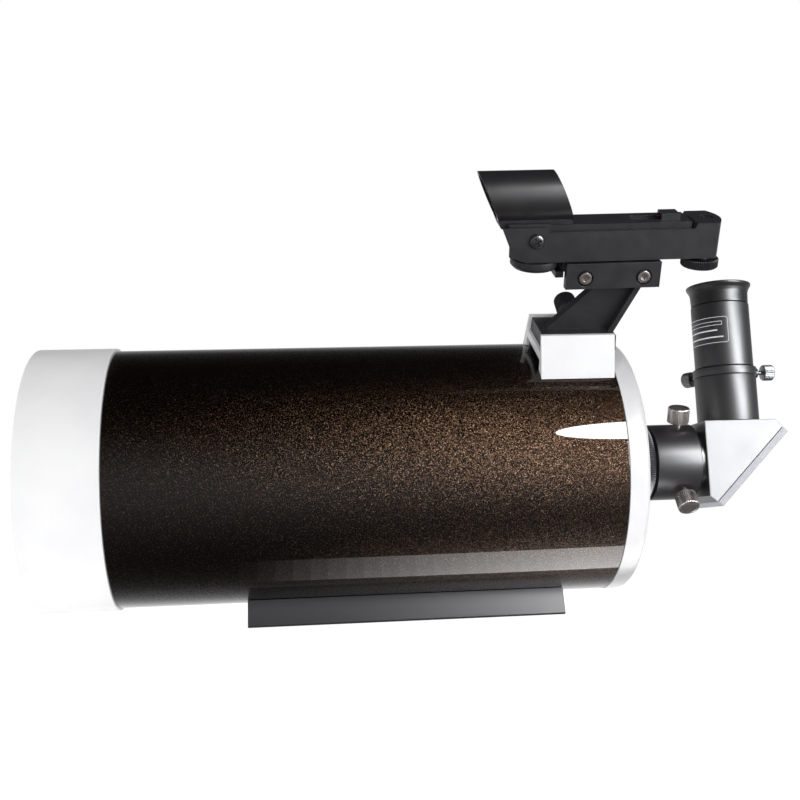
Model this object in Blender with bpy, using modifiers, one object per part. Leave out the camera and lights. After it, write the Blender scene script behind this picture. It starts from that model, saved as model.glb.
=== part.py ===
"""A 127 mm Maksutov-Cassegrain telescope tube with its star diagonal, eyepiece and red dot finder.

The part's frame: the origin is the centre of the dovetail bar's underside, +X runs along the optical
axis from the sky end to the eye end, and +Z is up. All lengths are in metres, all angles in degrees.
"""

import math

import bmesh
import bpy
from mathutils import Matrix, Vector

# ------------------------------------------------------------------ driving dimensions

GAP = 0.0003  # clearance between two pieces that touch on the real object
AXIS_Z = 0.0845  # height of the optical axis over the dovetail bar's underside

# Optical tube, positions along X
TUBE_R = 0.0720
TUBE_WALL = 0.0020
TUBE_FRONT = -0.1576
TUBE_REAR = 0.1142
CELL_FRONT = -0.2007
FRONT_CELL_R = 0.0734
REAR_CELL_R = 0.0723
REAR_FACE = 0.1264
SPIGOT_R = 0.0696  # the part of each cell that slips into the tube
SPIGOT_DEPTH = 0.0088

# Optics
LENS_R = 0.0648
LENS_FRONT = -0.1687
LENS_REAR = -0.1567
LENS_FRONT_CURVE = 0.170
LENS_REAR_CURVE = 0.175
MIRROR_R = 0.0660
MIRROR_HOLE_R = 0.0200
MIRROR_FRONT = 0.0860
MIRROR_BACK = 0.1020
MIRROR_CURVE = 0.600
BAFFLE_R = 0.0150
SLEEVE_R = 0.0196

# Focuser: the knob's place on the back, seen from the optical axis
FOCUS_Y = 0.0390
FOCUS_Z = -0.0220
FOCUS_ROD_R = 0.0025
KNOB_R = 0.0130
KNOB_END = 0.1540

# Visual back and diagonal
BARREL_R = 0.015875  # 1.25 inch push fit
BARREL_BORE = 0.0140
SOCKET_R = 0.0162
BACK_FRONT = 0.1475
BACK_END = 0.1736
BACK_R = 0.0223
BACK_SCREW_X = 0.1644
BACK_SCREW_ANGLES = {"upper": 25.0, "lower": 145.0}  # from straight up, towards -Y
HOUSING_FRONT = 0.1776
HOUSING_TOP = 0.0222  # over the optical axis
HOUSING_HALF = 0.0180
PLATE_OUTER = 0.0195
EYE_X = 0.1997
SEAM = 0.0068  # the cover's seam lies this far below the mirror plane, measured upright
COVER_THICKNESS = 0.0043

# Eyepiece, heights over the optical axis
COLLAR_BASE = 0.0499
COLLAR_TOP = 0.0551
HOLDER_R = 0.0179
COLLAR_R = 0.0185
EYEPIECE_R = 0.0170
EYECUP_BASE = 0.0943
EYECUP_TOP = 0.1064
EYECUP_R = 0.0190

# Dovetail bar
BAR_HALF_LENGTH = 0.0879
BAR_HALF_WIDTH = 0.0220
BAR_SLOPE = 15.0
BAR_BOLT_X = 0.0600

# Finder: it stands on the tube rolled this far towards -Y
FINDER_ROLL = 34.0
FINDER_TILT = 1.1  # the clamp and all above it, nose down
SHOE_FRONT = 0.0727
SHOE_REAR = 0.1131
SHOE_TOP = 0.0898
SHOE_FLOOR = 0.0803
CLAMP_X = 0.1097
CLAMP_HALF = 0.0256
CLAMP_BASE = 0.1152
CLAMP_TOP = 0.1293
CLAMP_FLOOR = 0.1232
CARRIAGE_BASE = 0.1301
CARRIAGE_HALF = 0.0115
CARRIAGE_WALL = 0.0015
YAW_X = 0.1290
PIVOT_X = 0.0673
PIVOT_Z = 0.1419
ALTITUDE_X = 0.1608
BATTERY_X = 0.0694
HOOD_R = 0.0130
HOOD_Z = 0.1632
HOOD_CUT = 23.0  # both ends of the hood are cut this far from square

FINE, MEDIUM, COARSE = 48, 24, 12  # sides of a large, a middling and a small round piece

# ------------------------------------------------------------------ scene and materials


def clear_scene():
    for obj in list(bpy.data.objects):
        bpy.data.objects.remove(obj, do_unlink=True)


def new_collection(name):
    made = bpy.data.collections.new(name)
    bpy.context.scene.collection.children.link(made)
    return made


clear_scene()
PARTS = new_collection("maksutov_telescope")
CUTTERS = new_collection("cutters")
CUTTERS.hide_render = True


def material(name, colour, roughness, metallic=0.0, transmission=0.0):
    made = bpy.data.materials.new(name)
    made.use_nodes = True
    shader = made.node_tree.nodes["Principled BSDF"]
    shader.inputs["Base Color"].default_value = (*colour, 1.0)
    shader.inputs["Roughness"].default_value = roughness
    shader.inputs["Metallic"].default_value = metallic
    shader.inputs["Transmission Weight"].default_value = transmission
    return made


TUBE_PAINT = material("tube_paint", (0.030, 0.024, 0.018), 0.18, 0.3)
WHITE_PAINT = material("white_paint", (0.88, 0.88, 0.89), 0.35)
BLACK_ANODISED = material("black_anodised", (0.020, 0.020, 0.023), 0.38, 0.4)
BLACK_PLASTIC = material("black_plastic", (0.025, 0.025, 0.028), 0.45)
BLACK_RUBBER = material("black_rubber", (0.020, 0.020, 0.020), 0.75)
NICKEL = material("nickel", (0.62, 0.58, 0.54), 0.22, 1.0)
CHROME = material("chrome", (0.80, 0.80, 0.82), 0.10, 1.0)
BRASS = material("brass", (0.72, 0.52, 0.22), 0.30, 1.0)
ALUMINIUM = material("aluminium", (0.70, 0.70, 0.72), 0.35, 1.0)
GLASS = material("coated_glass", (0.85, 0.92, 0.90), 0.03, 0.0, 0.9)
MIRROR = material("mirror_coating", (0.92, 0.92, 0.93), 0.03, 1.0)

# ------------------------------------------------------------------ shape helpers


def place(obj, parent=None, cutter=False):
    """Links an object to its collection and hangs it on a parent empty, if it has one."""
    (CUTTERS if cutter else PARTS).objects.link(obj)
    obj.parent = parent
    if cutter:
        obj.hide_render = True
        obj.display_type = "WIRE"
    return obj


def frame(name, location=(0.0, 0.0, 0.0), rotation=(0.0, 0.0, 0.0), parent=None):
    """An empty that carries pieces. Its rotation is in degrees about X, Y and Z."""
    empty = bpy.data.objects.new(name, None)
    empty.location = location
    empty.rotation_euler = [math.radians(angle) for angle in rotation]
    return place(empty, parent)


def finish(name, mesh, paint, parent, cutter, smooth=True):
    obj = bpy.data.objects.new(name, mesh)
    if smooth:
        mesh.shade_smooth()
        mesh.set_sharp_from_angle(angle=math.radians(35))
    if paint:
        mesh.materials.append(paint)
    return place(obj, parent, cutter)


def along(direction):
    """The rotation that takes local +Z to a direction."""
    return Vector(direction).to_track_quat("Z", "Y").to_euler()


def turned(name, outline, paint, at=(0, 0, 0), axis=(0, 0, 1), sides=MEDIUM, parent=None, cutter=False):
    """A turned piece. The outline's points are (radius, distance along the axis).

    An outline that starts and ends on the axis is solid there; any other closes into a ring.
    """
    on_axis = outline[0][0] == 0 and outline[-1][0] == 0
    area = sum(a[0] * b[1] - b[0] * a[1] for a, b in zip(outline, outline[1:] + outline[:1]))
    points = outline if area < 0 else outline[::-1]
    mesh = bpy.data.meshes.new(name)
    edges = [(i, i + 1) for i in range(len(points) - 1)]
    if not on_axis:
        edges.append((len(points) - 1, 0))
    mesh.from_pydata([(radius, 0, height) for radius, height in points], edges, [])
    obj = finish(name, mesh, paint, parent, cutter, smooth=False)
    obj.location = at
    obj.rotation_euler = along(axis)
    screw = obj.modifiers.new("turn", "SCREW")
    screw.angle = math.tau
    screw.steps = screw.render_steps = sides
    screw.use_merge_vertices = True
    screw.merge_threshold = 0.00001
    screw.use_smooth_shade = True
    return obj


def cylinder(name, radius, start, end, paint=None, **kwargs):
    """A plain round bar from start to end along its axis."""
    return turned(name, [(0, start), (radius, start), (radius, end), (0, end)], paint, **kwargs)


def box(name, low, high, paint=None, parent=None, cutter=False, bevel=0.0):
    mesh = bpy.data.meshes.new(name)
    built = bmesh.new()
    bmesh.ops.create_cube(built, size=1.0)
    size = Vector(high) - Vector(low)
    bmesh.ops.scale(built, vec=size, verts=built.verts)
    bmesh.ops.translate(built, vec=(Vector(high) + Vector(low)) / 2, verts=built.verts)
    built.to_mesh(mesh)
    built.free()
    obj = finish(name, mesh, paint, parent, cutter, smooth=False)
    if bevel:
        rounding = obj.modifiers.new("edges", "BEVEL")
        rounding.width = bevel
        rounding.segments = 1
    return obj


def plate(name, outline, low, high, paint=None, plane="XZ", parent=None, cutter=False):
    """A flat outline given a thickness. plane XZ runs low..high along Y, YZ along X, XY along Z."""
    curve = bpy.data.curves.new(name + "_outline", "CURVE")
    curve.dimensions = "2D"
    curve.fill_mode = "BOTH"
    curve.extrude = (high - low) / 2
    spline = curve.splines.new("POLY")
    spline.points.add(len(outline) - 1)
    for point, (u, v) in zip(spline.points, outline):
        point.co = (u, v, 0, 1)
    spline.use_cyclic_u = True
    flat = bpy.data.objects.new(name + "_flat", curve)
    CUTTERS.objects.link(flat)
    bpy.context.view_layer.update()
    mesh = bpy.data.meshes.new_from_object(flat.evaluated_get(bpy.context.evaluated_depsgraph_get()))
    bpy.data.objects.remove(flat)
    middle = (high + low) / 2
    to_plane = {
        "XZ": Matrix(((1, 0, 0, 0), (0, 0, -1, middle), (0, 1, 0, 0), (0, 0, 0, 1))),
        "YZ": Matrix(((0, 0, 1, middle), (1, 0, 0, 0), (0, 1, 0, 0), (0, 0, 0, 1))),
        "XY": Matrix.Translation((0, 0, middle)),
    }
    mesh.transform(to_plane[plane])
    welded = bmesh.new()
    welded.from_mesh(mesh)
    bmesh.ops.remove_doubles(welded, verts=welded.verts, dist=0.000001)
    bmesh.ops.recalc_face_normals(welded, faces=welded.faces)
    welded.to_mesh(mesh)
    welded.free()
    mesh.name = name
    return finish(name, mesh, paint, parent, cutter, smooth=False)


def boolean(target, tool, operation):
    """Cuts, joins or intersects target with tool, which becomes a hidden cutter."""
    modifier = target.modifiers.new(operation.lower() + "_" + tool.name, "BOOLEAN")
    modifier.operation = operation
    modifier.object = tool
    modifier.solver = "EXACT"
    return target


def cut(target, *tools):
    for tool in tools:
        boolean(target, tool, "DIFFERENCE")
    return target


def join(target, *tools):
    for tool in tools:
        boolean(target, tool, "UNION")
    return target


def arc(centre, radius, start, end, steps):
    """Points on an arc, from one angle to another in degrees, both ends included."""
    angles = [math.radians(start + (end - start) * i / steps) for i in range(steps + 1)]
    return [(centre[0] + radius * math.cos(a), centre[1] + radius * math.sin(a)) for a in angles]


def sag(radius, curve):
    """How deep a spherical surface is at a radius from its middle."""
    return curve - math.sqrt(curve * curve - radius * radius)


def surface(vertex, curve, inner, outer, steps):
    """Points (radius, x) on a spherical surface that bends towards the sky."""
    radii = [inner + (outer - inner) * i / steps for i in range(steps + 1)]
    return [(radius, vertex - sag(radius, curve)) for radius in radii]


# ------------------------------------------------------------------ optical tube

OPTICAL = frame("optical_axis", location=(0, 0, AXIS_Z))
AHEAD = {"axis": (1, 0, 0), "parent": OPTICAL}
FOCUS_AXIS = {"axis": (1, 0, 0), "parent": OPTICAL, "at": (0, FOCUS_Y, FOCUS_Z)}


def bolt_hole(name, radius, start, end, parent, at=(0, 0, 0), axis=(0, 0, 1)):
    return cylinder(name, radius, start, end, at=at, axis=axis, sides=COARSE, parent=parent, cutter=True)


def main_tube():
    inner = TUBE_R - TUBE_WALL
    outline = [(inner, TUBE_FRONT), (TUBE_R, TUBE_FRONT), (TUBE_R, TUBE_REAR), (inner, TUBE_REAR)]
    return turned("main_tube", outline, TUBE_PAINT, sides=FINE, **AHEAD)


def front_cell():
    """The white ring that holds the corrector lens and stands ahead of it as a short hood."""
    lens_bore, hood_bore, clear_bore = 0.0652, 0.0676, 0.0615
    seat, pocket = -0.1674, -0.1820
    shoulder, tail, lip = TUBE_FRONT - GAP, TUBE_FRONT + SPIGOT_DEPTH, 0.0015
    outline = [
        *arc((FRONT_CELL_R - lip, CELL_FRONT + lip), lip, -90, 0, 2),
        (FRONT_CELL_R, shoulder),
        (SPIGOT_R, shoulder),
        (SPIGOT_R, tail),
        (clear_bore, tail),
        (clear_bore, seat),
        (lens_bore, seat),
        (lens_bore, pocket),
        (hood_bore, pocket),
        (hood_bore, CELL_FRONT + lip),
        (hood_bore + lip, CELL_FRONT),
    ]
    return turned("front_cell", outline, WHITE_PAINT, sides=FINE, **AHEAD)


def lens_retaining_ring():
    """A threaded ring with two slots for a pin spanner."""
    inner, outer, front, back = 0.0612, 0.0672, -0.1870, -0.1823
    outline = [(inner, back), (inner, front), (outer, front), (outer, back)]
    ring = turned("lens_retaining_ring", outline, BLACK_ANODISED, sides=FINE, **AHEAD)
    slot_half, slot_depth, reach = 0.0015, 0.0018, 0.080
    slots = box("spanner_slots", (front - slot_depth, -reach, -slot_half),
                (front + slot_depth, reach, slot_half), parent=OPTICAL, cutter=True)
    return cut(ring, slots)


def meniscus_lens():
    front = surface(LENS_FRONT, LENS_FRONT_CURVE, 0, LENS_R, 4)
    rear = surface(LENS_REAR, LENS_REAR_CURVE, 0, LENS_R, 4)
    return turned("meniscus_lens", front + rear[::-1], GLASS, sides=32, **AHEAD)


def secondary_baffle():
    """The short cone glued round the aluminised spot on the lens's inner face."""
    wall, small, large, start, end = 0.0012, 0.0160, 0.0193, -0.1570, -0.1350
    outline = [(small, start), (small + wall, start), (large + wall, end), (large, end)]
    return turned("secondary_baffle", outline, BLACK_ANODISED, **AHEAD)


def rear_cell():
    """The white casting that closes the tube and carries the focuser and the rear port."""
    corner, floor, cavity_r = 0.0060, 0.1180, 0.0670
    hub_r, hub_end, thread_r, port_end = 0.0270, 0.1285, 0.0200, 0.1367
    baffle_bore, port_bore, baffle_seat = BAFFLE_R + GAP, 0.0165, 0.1303
    outline = [
        (REAR_CELL_R, TUBE_REAR + GAP),
        *arc((REAR_CELL_R - corner, REAR_FACE - corner), corner, 0, 90, 3),
        (hub_r, REAR_FACE),
        (hub_r, hub_end),
        (thread_r, hub_end),
        (thread_r, port_end),
        (port_bore, port_end),
        (port_bore, baffle_seat),
        (baffle_bore, baffle_seat),
        (baffle_bore, floor),
        (cavity_r, floor),
        (cavity_r, TUBE_REAR - SPIGOT_DEPTH),
        (SPIGOT_R, TUBE_REAR - SPIGOT_DEPTH),
        (SPIGOT_R, TUBE_REAR + GAP),
    ]
    cell = turned("rear_cell", outline, WHITE_PAINT, sides=FINE, **AHEAD)
    cutters = [cylinder("bushing_hole", 0.0063, 0.110, 0.130, sides=COARSE, cutter=True, **FOCUS_AXIS)]
    for index, spot in enumerate(collimation_spots(), 1):
        cutters.append(bolt_hole(f"collimation_hole_{index}", 0.0019, 0.110, 0.130, OPTICAL, spot, (1, 0, 0)))
    return cut(cell, *cutters)


def collimation_spots():
    """Three places 120 degrees apart round the port, one straight down."""
    ring, angles = 0.0340, (30, 150, 270)
    return [(0, ring * math.cos(math.radians(a)), ring * math.sin(math.radians(a))) for a in angles]


def collimation_screws():
    head_r, head_start, head_end, socket_r, socket_depth = 0.0032, 0.1267, 0.1297, 0.0016, 0.0018
    shank_r, tip = 0.0016, 0.1190
    outline = [(0, tip), (shank_r, tip), (shank_r, head_start), (head_r, head_start), (head_r, head_end),
               (socket_r, head_end), (socket_r, head_end - socket_depth), (0, head_end - socket_depth)]
    for index, spot in enumerate(collimation_spots(), 1):
        turned(f"collimation_screw_{index}", outline, NICKEL, at=spot, axis=(1, 0, 0), sides=12, parent=OPTICAL)


def primary_baffle_tube():
    bore, start, end = 0.0135, -0.0400, 0.1300
    outline = [(bore, start), (BAFFLE_R, start), (BAFFLE_R, end), (bore, end)]
    return turned("primary_baffle_tube", outline, BLACK_ANODISED, **AHEAD)


def mirror_carrier():
    """The sleeve that slides on the baffle tube, with the flange that backs the primary mirror."""
    bore, flange_r = BAFFLE_R + 0.00035, 0.0600
    start, flange_start, flange_end = 0.0760, 0.1024, 0.1064
    outline = [(bore, start), (SLEEVE_R, start), (SLEEVE_R, flange_start), (flange_r, flange_start),
               (flange_r, flange_end), (bore, flange_end)]
    carrier = turned("mirror_carrier", outline, ALUMINIUM, **AHEAD)
    hole = cylinder("rod_hole", FOCUS_ROD_R + GAP, 0.100, 0.110, sides=COARSE, cutter=True, **FOCUS_AXIS)
    return cut(carrier, hole)


def primary_mirror():
    face = surface(MIRROR_FRONT, MIRROR_CURVE, MIRROR_HOLE_R, MIRROR_R, 3)
    return turned("primary_mirror", face + [(MIRROR_R, MIRROR_BACK), (MIRROR_HOLE_R, MIRROR_BACK)],
                  MIRROR, sides=32, **AHEAD)


def mirror_retaining_ring():
    outer, start, end = 0.0245, 0.0812, 0.0851
    outline = [(SLEEVE_R + GAP, start), (outer, start), (outer, end), (SLEEVE_R + GAP, end)]
    return turned("mirror_retaining_ring", outline, BLACK_ANODISED, **AHEAD)


# ------------------------------------------------------------------ focuser


def focus_rod():
    """The threaded rod on the mirror carrier. The knob's nut draws it in and out."""
    return cylinder("focus_rod", FOCUS_ROD_R, 0.1030, 0.1400, NICKEL, sides=COARSE, **FOCUS_AXIS)


def focus_bushing():
    bore, body_r, flange_r = FOCUS_ROD_R + GAP, 0.0060, 0.0090
    start, flange_start, end = 0.1175, REAR_FACE + GAP, 0.1282
    outline = [(bore, start), (body_r, start), (body_r, flange_start), (flange_r, flange_start),
               (flange_r, end), (bore, end)]
    return turned("focus_bushing", outline, BRASS, sides=COARSE, **FOCUS_AXIS)


def focus_knob():
    bore, bore_end, start, hub_r, edge = 0.0030, 0.1500, 0.1286, 0.0112, 0.0014
    outline = [(0, KNOB_END), (KNOB_R - edge, KNOB_END), (KNOB_R, KNOB_END - edge), (KNOB_R, start + edge),
               (hub_r, start), (bore, start), (bore, bore_end), (0, bore_end)]
    return turned("focus_knob", outline, BLACK_RUBBER, **FOCUS_AXIS)


# ------------------------------------------------------------------ visual back


def lock_ring():
    """The knurled ring that screws the visual back to the rear port."""
    bore, lip_bore, outer, chamfer = 0.02035, 0.0187, 0.0238, 0.0014
    start, lip_start, end = 0.1290, 0.1419, 0.1455
    outline = [(bore, start), (outer, start), (outer, end - chamfer), (outer - chamfer, end),
               (lip_bore, end), (lip_bore, lip_start), (bore, lip_start)]
    return turned("lock_ring", outline, BLACK_ANODISED, **AHEAD)


def screw_direction(angle):
    """Outward from the optical axis, an angle from straight up towards -Y."""
    return (0, -math.sin(math.radians(angle)), math.cos(math.radians(angle)))


def visual_back():
    flange_r, neck_r, start, flange_end, edge = 0.0200, 0.0183, 0.1370, 0.1415, 0.0005
    outline = [(SOCKET_R, start), (flange_r, start), (flange_r, flange_end), (neck_r, flange_end),
               (neck_r, BACK_FRONT), (BACK_R, BACK_FRONT), (BACK_R, BACK_END - edge),
               (BACK_R - edge, BACK_END), (SOCKET_R, BACK_END)]
    tube = turned("visual_back", outline, BLACK_ANODISED, **AHEAD)
    for name, angle in BACK_SCREW_ANGLES.items():
        cut(tube, bolt_hole(f"back_screw_hole_{name}", 0.0023, 0.010, 0.030, OPTICAL,
                            (BACK_SCREW_X, 0, 0), screw_direction(angle)))
    return tube


def visual_back_screws():
    shank_r, tip, head_r, head_start, head_end, edge = 0.0020, 0.0166, 0.00625, 0.0250, 0.0340, 0.0005
    outline = [(0, tip), (shank_r, tip), (shank_r, head_start), (head_r - edge, head_start),
               (head_r, head_start + edge), (head_r, head_end - edge), (head_r - edge, head_end), (0, head_end)]
    for name, angle in BACK_SCREW_ANGLES.items():
        turned(f"visual_back_screw_{name}", outline, NICKEL, at=(BACK_SCREW_X, 0, 0),
               axis=screw_direction(angle), sides=COARSE, parent=OPTICAL)


# ------------------------------------------------------------------ star diagonal


def housing_outline():
    """The wedge seen from the side: square front and top, a slanted back, two clipped corners."""
    seam_shift = EYE_X + SEAM  # on the seam, height equals x minus this
    front_bottom, clip_slope, top_clip = -0.0213, -0.8, 0.0043
    bottom_x = (front_bottom - clip_slope * HOUSING_FRONT + seam_shift) / (1 - clip_slope)
    return [
        (HOUSING_FRONT, front_bottom),
        (bottom_x, bottom_x - seam_shift),
        (seam_shift + HOUSING_TOP - top_clip, HOUSING_TOP - top_clip),
        (seam_shift + HOUSING_TOP - 2 * top_clip + 0.0005, HOUSING_TOP),
        (HOUSING_FRONT, HOUSING_TOP),
    ]


def slanted_box(name, front, back, half_length, half_width, paint=None, cutter=False):
    """A slab parallel to the mirror plane, between two depths behind it."""
    middle = Matrix.Translation((EYE_X, 0, 0)) @ Matrix.Rotation(math.radians(-45), 4, "Y")
    slab = box(name, (-half_length, -half_width, -back), (half_length, half_width, -front), paint,
               parent=OPTICAL, cutter=cutter)
    slab.data.transform(middle)
    return slab


def diagonal_nosepiece():
    start, end = 0.1490, 0.1800
    outline = [(0.0144, start), (BARREL_R, start), (BARREL_R, end), (0.0144, end)]
    return turned("diagonal_nosepiece", outline, CHROME, **AHEAD)


def diagonal_housing():
    core = plate("diagonal_housing", housing_outline(), -HOUSING_HALF, HOUSING_HALF, BLACK_ANODISED, parent=OPTICAL)
    collar = cylinder("housing_collar", 0.0175, BACK_END + 0.0006, HOUSING_FRONT + 0.0010, cutter=True, **AHEAD)
    upright = {"at": (EYE_X, 0, 0), "parent": OPTICAL, "cutter": True}
    entry_r, exit_r, exit_end = 0.0140, 0.0134, 0.0300
    nose = [(0, 0.1700), (SOCKET_R, 0.1700), (SOCKET_R, 0.1803), (entry_r, 0.1803), (entry_r, EYE_X), (0, EYE_X)]
    eye = [(0, 0), (exit_r, 0), (exit_r, 0.0167), (0.0160, 0.0167), (0.0160, exit_end), (0, exit_end)]
    return cut(
        join(core, collar),
        slanted_box("mirror_pocket", -0.0060, 0.0200, 0.0223, 0.0153, cutter=True),
        turned("nose_bore", nose, None, cutter=True, **AHEAD),
        turned("eye_bore", eye, None, **upright),
    )


def diagonal_plates():
    inner = HOUSING_HALF + GAP
    for name, low, high in (("near", -PLATE_OUTER, -inner), ("far", inner, PLATE_OUTER)):
        plate(f"diagonal_plate_{name}", housing_outline(), low, high, WHITE_PAINT, parent=OPTICAL)


def diagonal_mirror():
    return slanted_box("diagonal_mirror", GAP, 0.0043, 0.0220, 0.0150, MIRROR)


def diagonal_cover():
    """The slab that closes the slanted back and covers the edges of both side plates."""
    seam_depth, half_length = SEAM / math.sqrt(2), 0.0300
    front, back = seam_depth + GAP, seam_depth + COVER_THICKNESS
    return slanted_box("diagonal_cover", front, back, half_length, PLATE_OUTER, WHITE_PAINT)


def eyepiece_holder():
    spigot_r, spigot_base, boss_r, boss_end = 0.0157, 0.0170, 0.0028, 0.0203
    seat, base = HOUSING_TOP + 0.0008, HOUSING_TOP + GAP
    outline = [(BARREL_BORE, spigot_base), (spigot_r, spigot_base), (spigot_r, base), (HOLDER_R, base),
               (HOLDER_R, COLLAR_BASE), (COLLAR_R, COLLAR_BASE), (COLLAR_R, COLLAR_TOP),
               (SOCKET_R, COLLAR_TOP), (SOCKET_R, seat), (BARREL_BORE, seat)]
    holder = turned("eyepiece_holder", outline, BLACK_ANODISED, at=(EYE_X, 0, 0), parent=OPTICAL)
    for name, direction in holder_screw_directions().items():
        at = holder_screw_place()
        join(holder, cylinder(f"holder_boss_{name}", boss_r, 0.0172, boss_end, at=at, axis=direction,
                              sides=COARSE, parent=OPTICAL, cutter=True))
    for name, direction in holder_screw_directions().items():
        cut(holder, bolt_hole(f"holder_screw_hole_{name}", 0.0015, 0.010, 0.030, OPTICAL,
                              holder_screw_place(), direction))
    return holder


def holder_screw_directions():
    """Two screws 120 degrees apart round the collar, one of them pointing straight back."""
    side = math.radians(120)
    return {"rear": (1, 0, 0), "side": (math.cos(side), math.sin(side), 0)}


def holder_screw_place():
    return (EYE_X, 0, (COLLAR_BASE + COLLAR_TOP) / 2)


def holder_screws():
    shank_r, tip, head_r, head_start, head_end, edge = 0.00115, 0.0167, 0.00475, 0.0236, 0.0298, 0.0005
    outline = [(0, tip), (shank_r, tip), (shank_r, head_start), (head_r - edge, head_start),
               (head_r, head_start + edge), (head_r, head_end - edge), (head_r - edge, head_end), (0, head_end)]
    for name, direction in holder_screw_directions().items():
        turned(f"holder_screw_{name}", outline, CHROME, at=holder_screw_place(), axis=direction,
               sides=COARSE, parent=OPTICAL)


# ------------------------------------------------------------------ eyepiece

EYE = {"at": (EYE_X, 0, 0), "parent": OPTICAL}
NECK_R, NECK_TOP = 0.0140, 0.0985
BODY_BASE = COLLAR_TOP + GAP


def eyepiece_barrel():
    base, top = 0.0300, 0.0601
    outline = [(BARREL_BORE, base), (BARREL_R, base), (BARREL_R, top), (BARREL_BORE, top)]
    return turned("eyepiece_barrel", outline, CHROME, **EYE)


def eyepiece_body():
    thread_top, field_bore, eye_bore, eye_seat, shoulder = 0.0604, 0.0125, 0.0118, 0.0890, 0.0940
    outline = [(SOCKET_R, BODY_BASE), (EYEPIECE_R, BODY_BASE), (EYEPIECE_R, shoulder), (NECK_R, shoulder),
               (NECK_R, NECK_TOP), (eye_bore, NECK_TOP), (eye_bore, eye_seat), (0.0105, eye_seat),
               (0.0105, 0.0700), (field_bore, 0.0700), (field_bore, thread_top), (SOCKET_R, thread_top)]
    return turned("eyepiece_body", outline, BLACK_ANODISED, **EYE)


def biconvex(name, radius, base, top, bulge):
    """A lens with a straight rim between base and top, and equally curved faces."""
    ring = 0.6
    outline = [(0, top + bulge), (radius * ring, top + bulge * (1 - ring**2)), (radius, top),
               (radius, base), (radius * ring, base - bulge * (1 - ring**2)), (0, base - bulge)]
    return turned(name, outline, GLASS, sides=24, **EYE)


def eyecup():
    """A rubber cup that flares to its rim and grips the eyepiece's neck."""
    flare_base, flare_top, rim, wall = 0.1000, 0.1052, 0.0005, 0.0017
    outline = [
        (0.0167, EYECUP_BASE),
        (0.0169, flare_base),
        (EYECUP_R, flare_top),
        (EYECUP_R, EYECUP_TOP - rim),
        (EYECUP_R - rim, EYECUP_TOP),
        (EYECUP_R - wall, EYECUP_TOP - rim),
        (0.0146, 0.1010),
        (0.0118, 0.0998),
        (0.0118, NECK_TOP + GAP),
        (NECK_R + GAP, NECK_TOP + GAP),
        (NECK_R + GAP, EYECUP_BASE),
    ]
    return turned("eyecup", outline, BLACK_RUBBER, **EYE)


# ------------------------------------------------------------------ dovetail bar


def dovetail_bar():
    """A tapered bar with a hollow top that follows the tube."""
    chamfer, cradle_r = 0.0010, TUBE_R + GAP
    slope = math.tan(math.radians(BAR_SLOPE))
    top_half = 0.01836
    cradle_edge = math.degrees(math.asin(top_half / cradle_r))
    hollow = arc((0, AXIS_Z), cradle_r, -90 + cradle_edge, -90 - cradle_edge, 8)
    outline = [(-BAR_HALF_WIDTH + chamfer, 0), (BAR_HALF_WIDTH - chamfer, 0), (BAR_HALF_WIDTH, chamfer),
               *hollow, (-BAR_HALF_WIDTH, chamfer)]
    assert abs(BAR_HALF_WIDTH - (hollow[0][1] - chamfer) * slope - top_half) < 0.0002
    bar = plate("dovetail_bar", outline, -BAR_HALF_LENGTH, BAR_HALF_LENGTH, BLACK_ANODISED, plane="YZ")
    bore = [(0, -0.0020), (0.0056, -0.0020), (0.0056, 0.0062), (0.0034, 0.0062), (0.0034, 0.0200), (0, 0.0200)]
    for name, x in (("front", -BAR_BOLT_X), ("rear", BAR_BOLT_X)):
        cut(bar, turned(f"bar_bore_{name}", bore, None, at=(x, 0, 0), sides=COARSE, cutter=True))
    return bar


def dovetail_bolts():
    head_r, head_base, head_top, socket_r, socket_top, shank_r, end = (
        0.0052, 0.0010, 0.0059, 0.0026, 0.0036, 0.0030, 0.0195)
    outline = [(0, socket_top), (socket_r, socket_top), (socket_r, head_base), (head_r, head_base),
               (head_r, head_top), (shank_r, head_top), (shank_r, end), (0, end)]
    for name, x in (("front", -BAR_BOLT_X), ("rear", BAR_BOLT_X)):
        turned(f"dovetail_bolt_{name}", outline, BLACK_ANODISED, at=(x, 0, 0), sides=COARSE)


def nut_plate():
    """A steel strip inside the tube that takes both dovetail bolts."""
    half_length, half_width, base, top = BAR_BOLT_X + 0.008, 0.0060, 0.0152, 0.0182
    strip = box("nut_plate", (-half_length, -half_width, base), (half_length, half_width, top), NICKEL)
    for name, x in (("front", -BAR_BOLT_X), ("rear", BAR_BOLT_X)):
        cut(strip, bolt_hole(f"nut_hole_{name}", 0.0033, 0.0140, 0.0200, None, (x, 0, 0)))
    return strip


# ------------------------------------------------------------------ finder shoe

SIDE = frame("finder_side", location=(0, 0, AXIS_Z), rotation=(FINDER_ROLL, 0, 0))
SHOE_BOLT_X = (SHOE_FRONT + 0.0115, SHOE_REAR - 0.0115)
CHANNEL_TOP, CHANNEL_BOTTOM = 0.0140, 0.0165


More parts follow.
